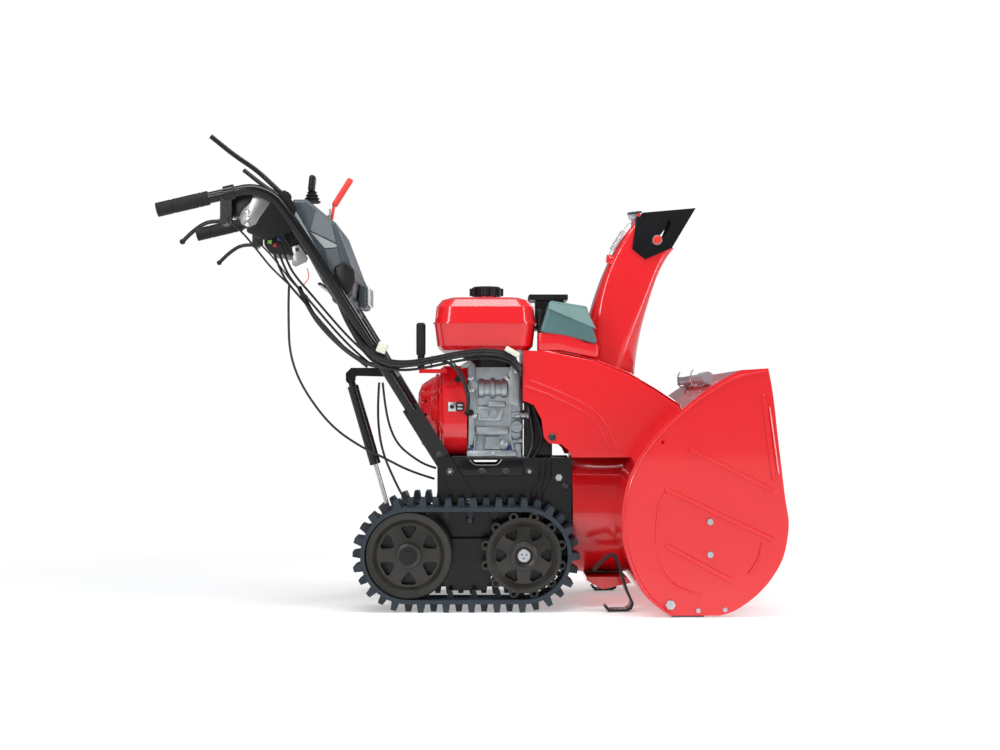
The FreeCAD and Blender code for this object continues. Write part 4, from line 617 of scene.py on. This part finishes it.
# ------------------------------------------------------------------ deflector spring
# A coil of bright spring wire that pulls the deflector back against its cable, hooked over
# a rod at each end.
coil = []
for k in range(15 * 8 + 1):
    a = 2 * math.pi * k / 8
    t = k / (15 * 8)
    coil.append((361 + 30 * t + 5.5 * math.cos(a) * 0.85, -62 + 5.5 * math.sin(a),
                 903 + 48 * t - 5.5 * math.cos(a) * 0.53))
spring = drawn_bar("coil_spring", coil, 1.1, "chute", zinc_plate)
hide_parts("deflector_spring")
flat_piece("spring_tab", ((346, 870), (362, 864), (368, 880), (360, 890), (348, 890)), -67, -63,
           1.2, "chute", red_enamel)
drawn_bar("spring_hook_low", [(361, -62, 903), (356, -63, 896), (354, -66, 886), (358, -69, 880),
                              (362, -66, 884)], 1.1, "chute", zinc_plate)
drawn_bar("spring_hook_high", [(391, -62, 951), (398, -63, 962), (404, -66, 970), (410, -68, 972)],
          1.1, "chute", zinc_plate)

# ------------------------------------------------------------------ chute joystick
# A moulded paddle on a steel stick, in a folded rubber bellows that seals it to the
# console.
turned_piece("joystick_bellows", ((21.5, 0), (21.8, 4), (16, 7), (19.5, 11), (13.5, 15),
                                  (16.5, 19), (10.5, 23), (13, 27), (7.5, 31), (6, 36)),
             (-402, -110, 1016.2), (0, 0, 1), "joystick", grip_rubber)
paddle = moulded_block("joystick_paddle", (-410, -127, 1044), (-394, -93, 1086), 6, "joystick",
                       black_moulding, 6)
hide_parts("chute_joystick")

# ------------------------------------------------------------------ console skins
# The console's side is moulded in slanting facets; two of them are painted in lighter copies of the
# console grey as painted light, the high facet lit most, with a pale strip beside the bar and a
# dark lamp housing at its foot.
def facet(name, outline, depth, side, material):
    """A low faceted skin: each outline point carries its own height off the console side."""
    mesh = bpy.data.meshes.new(name)
    shape = bmesh.new()
    front = [shape.verts.new((x / 1000, side * (depth + h) / 1000, z / 1000))
             for x, z, h in outline]
    back = [shape.verts.new((x / 1000, side * (depth - 6) / 1000, z / 1000))
            for x, z, h in outline]
    centre = shape.verts.new((sum(p[0] for p in outline) / len(outline) / 1000,
                              side * (depth + sum(p[2] for p in outline) / len(outline)) / 1000,
                              sum(p[1] for p in outline) / len(outline) / 1000))
    count = len(outline)
    for k in range(count):
        shape.faces.new((front[k], front[(k + 1) % count], centre))
        shape.faces.new((front[k], back[k], back[(k + 1) % count], front[(k + 1) % count]))
    shape.faces.new(back)
    bmesh.ops.recalc_face_normals(shape, faces=shape.faces)
    shape.to_mesh(mesh)
    shape.free()
    piece = bpy.data.objects.new(name, mesh)
    bpy.context.scene.collection.objects.link(piece)
    return settle(piece, "chassis", material)


# painted light: lighter copies of the console grey, the brighter one for the lit high facet, the
# dimmer one for the half-lit foot facet
painted_lit_facet_grey = finish("painted_lit_facet_grey", (0.13, 0.15, 0.165), (0.15, 0.17, 0.185), 0.36, 0.1,
                    patch_scale=8, grain=1100, relief=0.2, depth=0.0003)
painted_half_lit_facet_grey = finish("painted_half_lit_facet_grey", (0.085, 0.1, 0.112), (0.1, 0.115, 0.128), 0.36, 0.1,
                   patch_scale=8, grain=1100, relief=0.2, depth=0.0003)
trim_grey = finish("trim_grey", (0.3, 0.33, 0.33), (0.36, 0.39, 0.39), 0.3, 0.1,
                   patch_scale=9, grain=900, relief=0.1, depth=0.0003)
for side in (-1, 1):
    way = "right" if side < 0 else "left"
    facet("console_facet_high_" + way, ((-381, 992, 2), (-347, 962, 1), (-332, 905, 7),
                                        (-396, 936, 3)), 205, side, painted_lit_facet_grey)
    facet("console_facet_low_" + way, ((-396, 932, 3), (-332, 901, 7), (-330, 894, 7),
                                       (-360, 892, 5)), 205, side, trim_grey)
    facet("console_facet_foot_" + way, ((-360, 889, 5), (-328, 892, 7), (-318, 842, 2),
                                        (-350, 836, 1)), 205, side, painted_half_lit_facet_grey)
    flat_piece("console_strip_" + way, ((-448, 980), (-430, 980), (-346, 832), (-362, 830),
                                        (-448, 972)), side * 214, side * 204, 2, "chassis",
               trim_grey)
flat_piece("lamp_housing", ((-338, 846), (-310, 862), (-286, 838), (-284, 812), (-300, 778),
                            (-318, 776), (-336, 800)), -212, 212, 7, "chassis",
           black_moulding)

# ------------------------------------------------------------------ under the console
# Control box, connector housing and corrugated loom tube hung behind the console on grey
# zinc brackets; the glossy lever plate carries three bright screws.
plate_grey = finish("plate_grey", (0.24, 0.24, 0.24), (0.3, 0.3, 0.3), 0.22, 0.12, metal=0.4,
                    coat=0.4, patch_scale=6, patch_amount=0.9, grain=200, relief=0.06, depth=0.0004)
for side in (-1, 1):
    way = "right" if side < 0 else "left"
    flat_piece("lever_plate_" + way, ((-520, 1034), (-482, 1004), (-512, 962), (-522, 944),
                                      (-540, 936), (-558, 944), (-564, 962), (-556, 978),
                                      (-536, 998)), side * 267.4, side * 263.6, 1.5, "chassis",
               plate_grey)
    for k, z in enumerate((944, 959, 974)):
        turned_piece("plate_screw_%s_%d" % (way, k), ((0, 0), (6, 0), (6, 2.5), (4.5, 4),
                                                      (2.4, 4), (2, 2.8), (0, 2.8)),
                     (-543, side * 267, z), (0, side, 0), "chassis", zinc_plate, 6)
    flat_piece("control_box_" + way, ((-590, 1010), (-578, 1020), (-520, 1026), (-512, 1000),
                                      (-520, 966), (-584, 962), (-592, 972)), side * 262,
               side * 212, 6, "chassis", black_moulding)
flat_piece("connector_box", ((-512, 936), (-470, 948), (-440, 944), (-436, 884), (-452, 876),
                             (-496, 880), (-512, 900)), -198, -60, 6, "chassis",
           black_moulding)
flat_piece("zinc_bracket", ((-530, 938), (-470, 956), (-462, 966), (-462, 950), (-474, 936),
                            (-526, 930)), -206, -198, 1.5, "chassis", plate_grey)
flat_piece("relay_bracket", ((-442, 896), (-424, 900), (-402, 868), (-406, 858), (-432, 846),
                             (-440, 850)), -212, -200, 2, "chassis", plate_grey)
flat_piece("relay", ((-432, 892), (-424, 892), (-424, 884), (-432, 884)), -215, -211, 1,
           "chassis", black_moulding)
turned_piece("corrugated_tube", [(0, 0)] + [(8.2 if k % 2 else 6.4, 3.2 * k) for k in range(26)]
             + [(0, 81)], (-480, -206, 942), (0.52, 0, -0.85), "chassis",
             grip_rubber, 24)
for k, (x, z, colour) in enumerate(((-497, 908, (0.3, 0.6, 0.12)), (-484, 900, (0.5, 0.03, 0.03)),
                                    (-474, 916, (0.03, 0.1, 0.4)))):
    coloured = finish("plug_colour_%d" % k, colour, tuple(c * 0.7 for c in colour), 0.4, 0.1,
                      patch_scale=40, grain=800, relief=0.1, depth=0.0002)
    flat_piece("wire_plug_%d" % k, ((x - 5, z - 4), (x + 5, z - 5), (x + 5, z + 5), (x - 5, z + 4)),
               -202, -196, 1, "chassis", coloured)
drawn_bar("red_wire", [(-404, -206, 842), (-398, -208, 826), (-402, -208, 812), (-412, -206, 802)],
          1.2, "chassis", red_moulding)

# ------------------------------------------------------------------ intake cover facets
# The air cleaner lid is a moulding clipped over the filter; its side breaks along a
# slanting line, and the face above it is painted paler than the teal below as a painted highlight.
# painted highlight: a paler copy of the teal cover colour for the lid's upper face
painted_lit_teal = finish("painted_lit_teal", (0.19, 0.31, 0.3), (0.22, 0.35, 0.34), 0.26, 0.1, coat=0.2,
                    patch_scale=6, grain=500, relief=0.08, depth=0.0003)
mesh = bpy.data.meshes.new("lid_facet")
mesh.from_pydata([(x / 1000, y / 1000, z / 1000) for x, y, z in (
    (196, -190.5, 760), (286, -190.5, 745), (312, -190.5, 694), (312, -184, 694),
    (196, -184, 760), (286, -184, 745), (194, -193, 744))],
    [], [(0, 6, 1), (6, 2, 1), (6, 3, 2), (4, 5, 3), (4, 3, 6), (0, 4, 6), (0, 1, 5, 4),
         (1, 2, 3, 5)])
lid_facet = bpy.data.objects.new("lid_facet", mesh)
bpy.context.scene.collection.objects.link(lid_facet)
settle(lid_facet, "chassis", painted_lit_teal)

# ------------------------------------------------------------------ deflector knob and bracket
# A red knob on the clamp stud, and the cable bracket at the head of the chute.
turned_piece("deflector_knob", ((0, 0), (9, 0), (10, 3), (10, 8), (8, 10), (0, 10.5)),
             (477, -78, 927), (0, -1, 0), "chute", red_moulding, 24)
turned_piece("knob_washer", ((0, 0), (13, 0), (13, 1.6), (0, 1.6)), (477, -76.4, 927), (0, -1, 0),
             "chute", zinc_plate, 32)
flat_piece("cable_bracket", ((402, 1000), (430, 1006), (436, 994), (428, 982), (410, 980)),
           -60, -40, 2, "chute", zinc_plate)
drawn_bar("bracket_stud", [(404, -64, 996), (420, -64, 1000), (438, -64, 1000)], 3, "chute",
          dark_bolt)
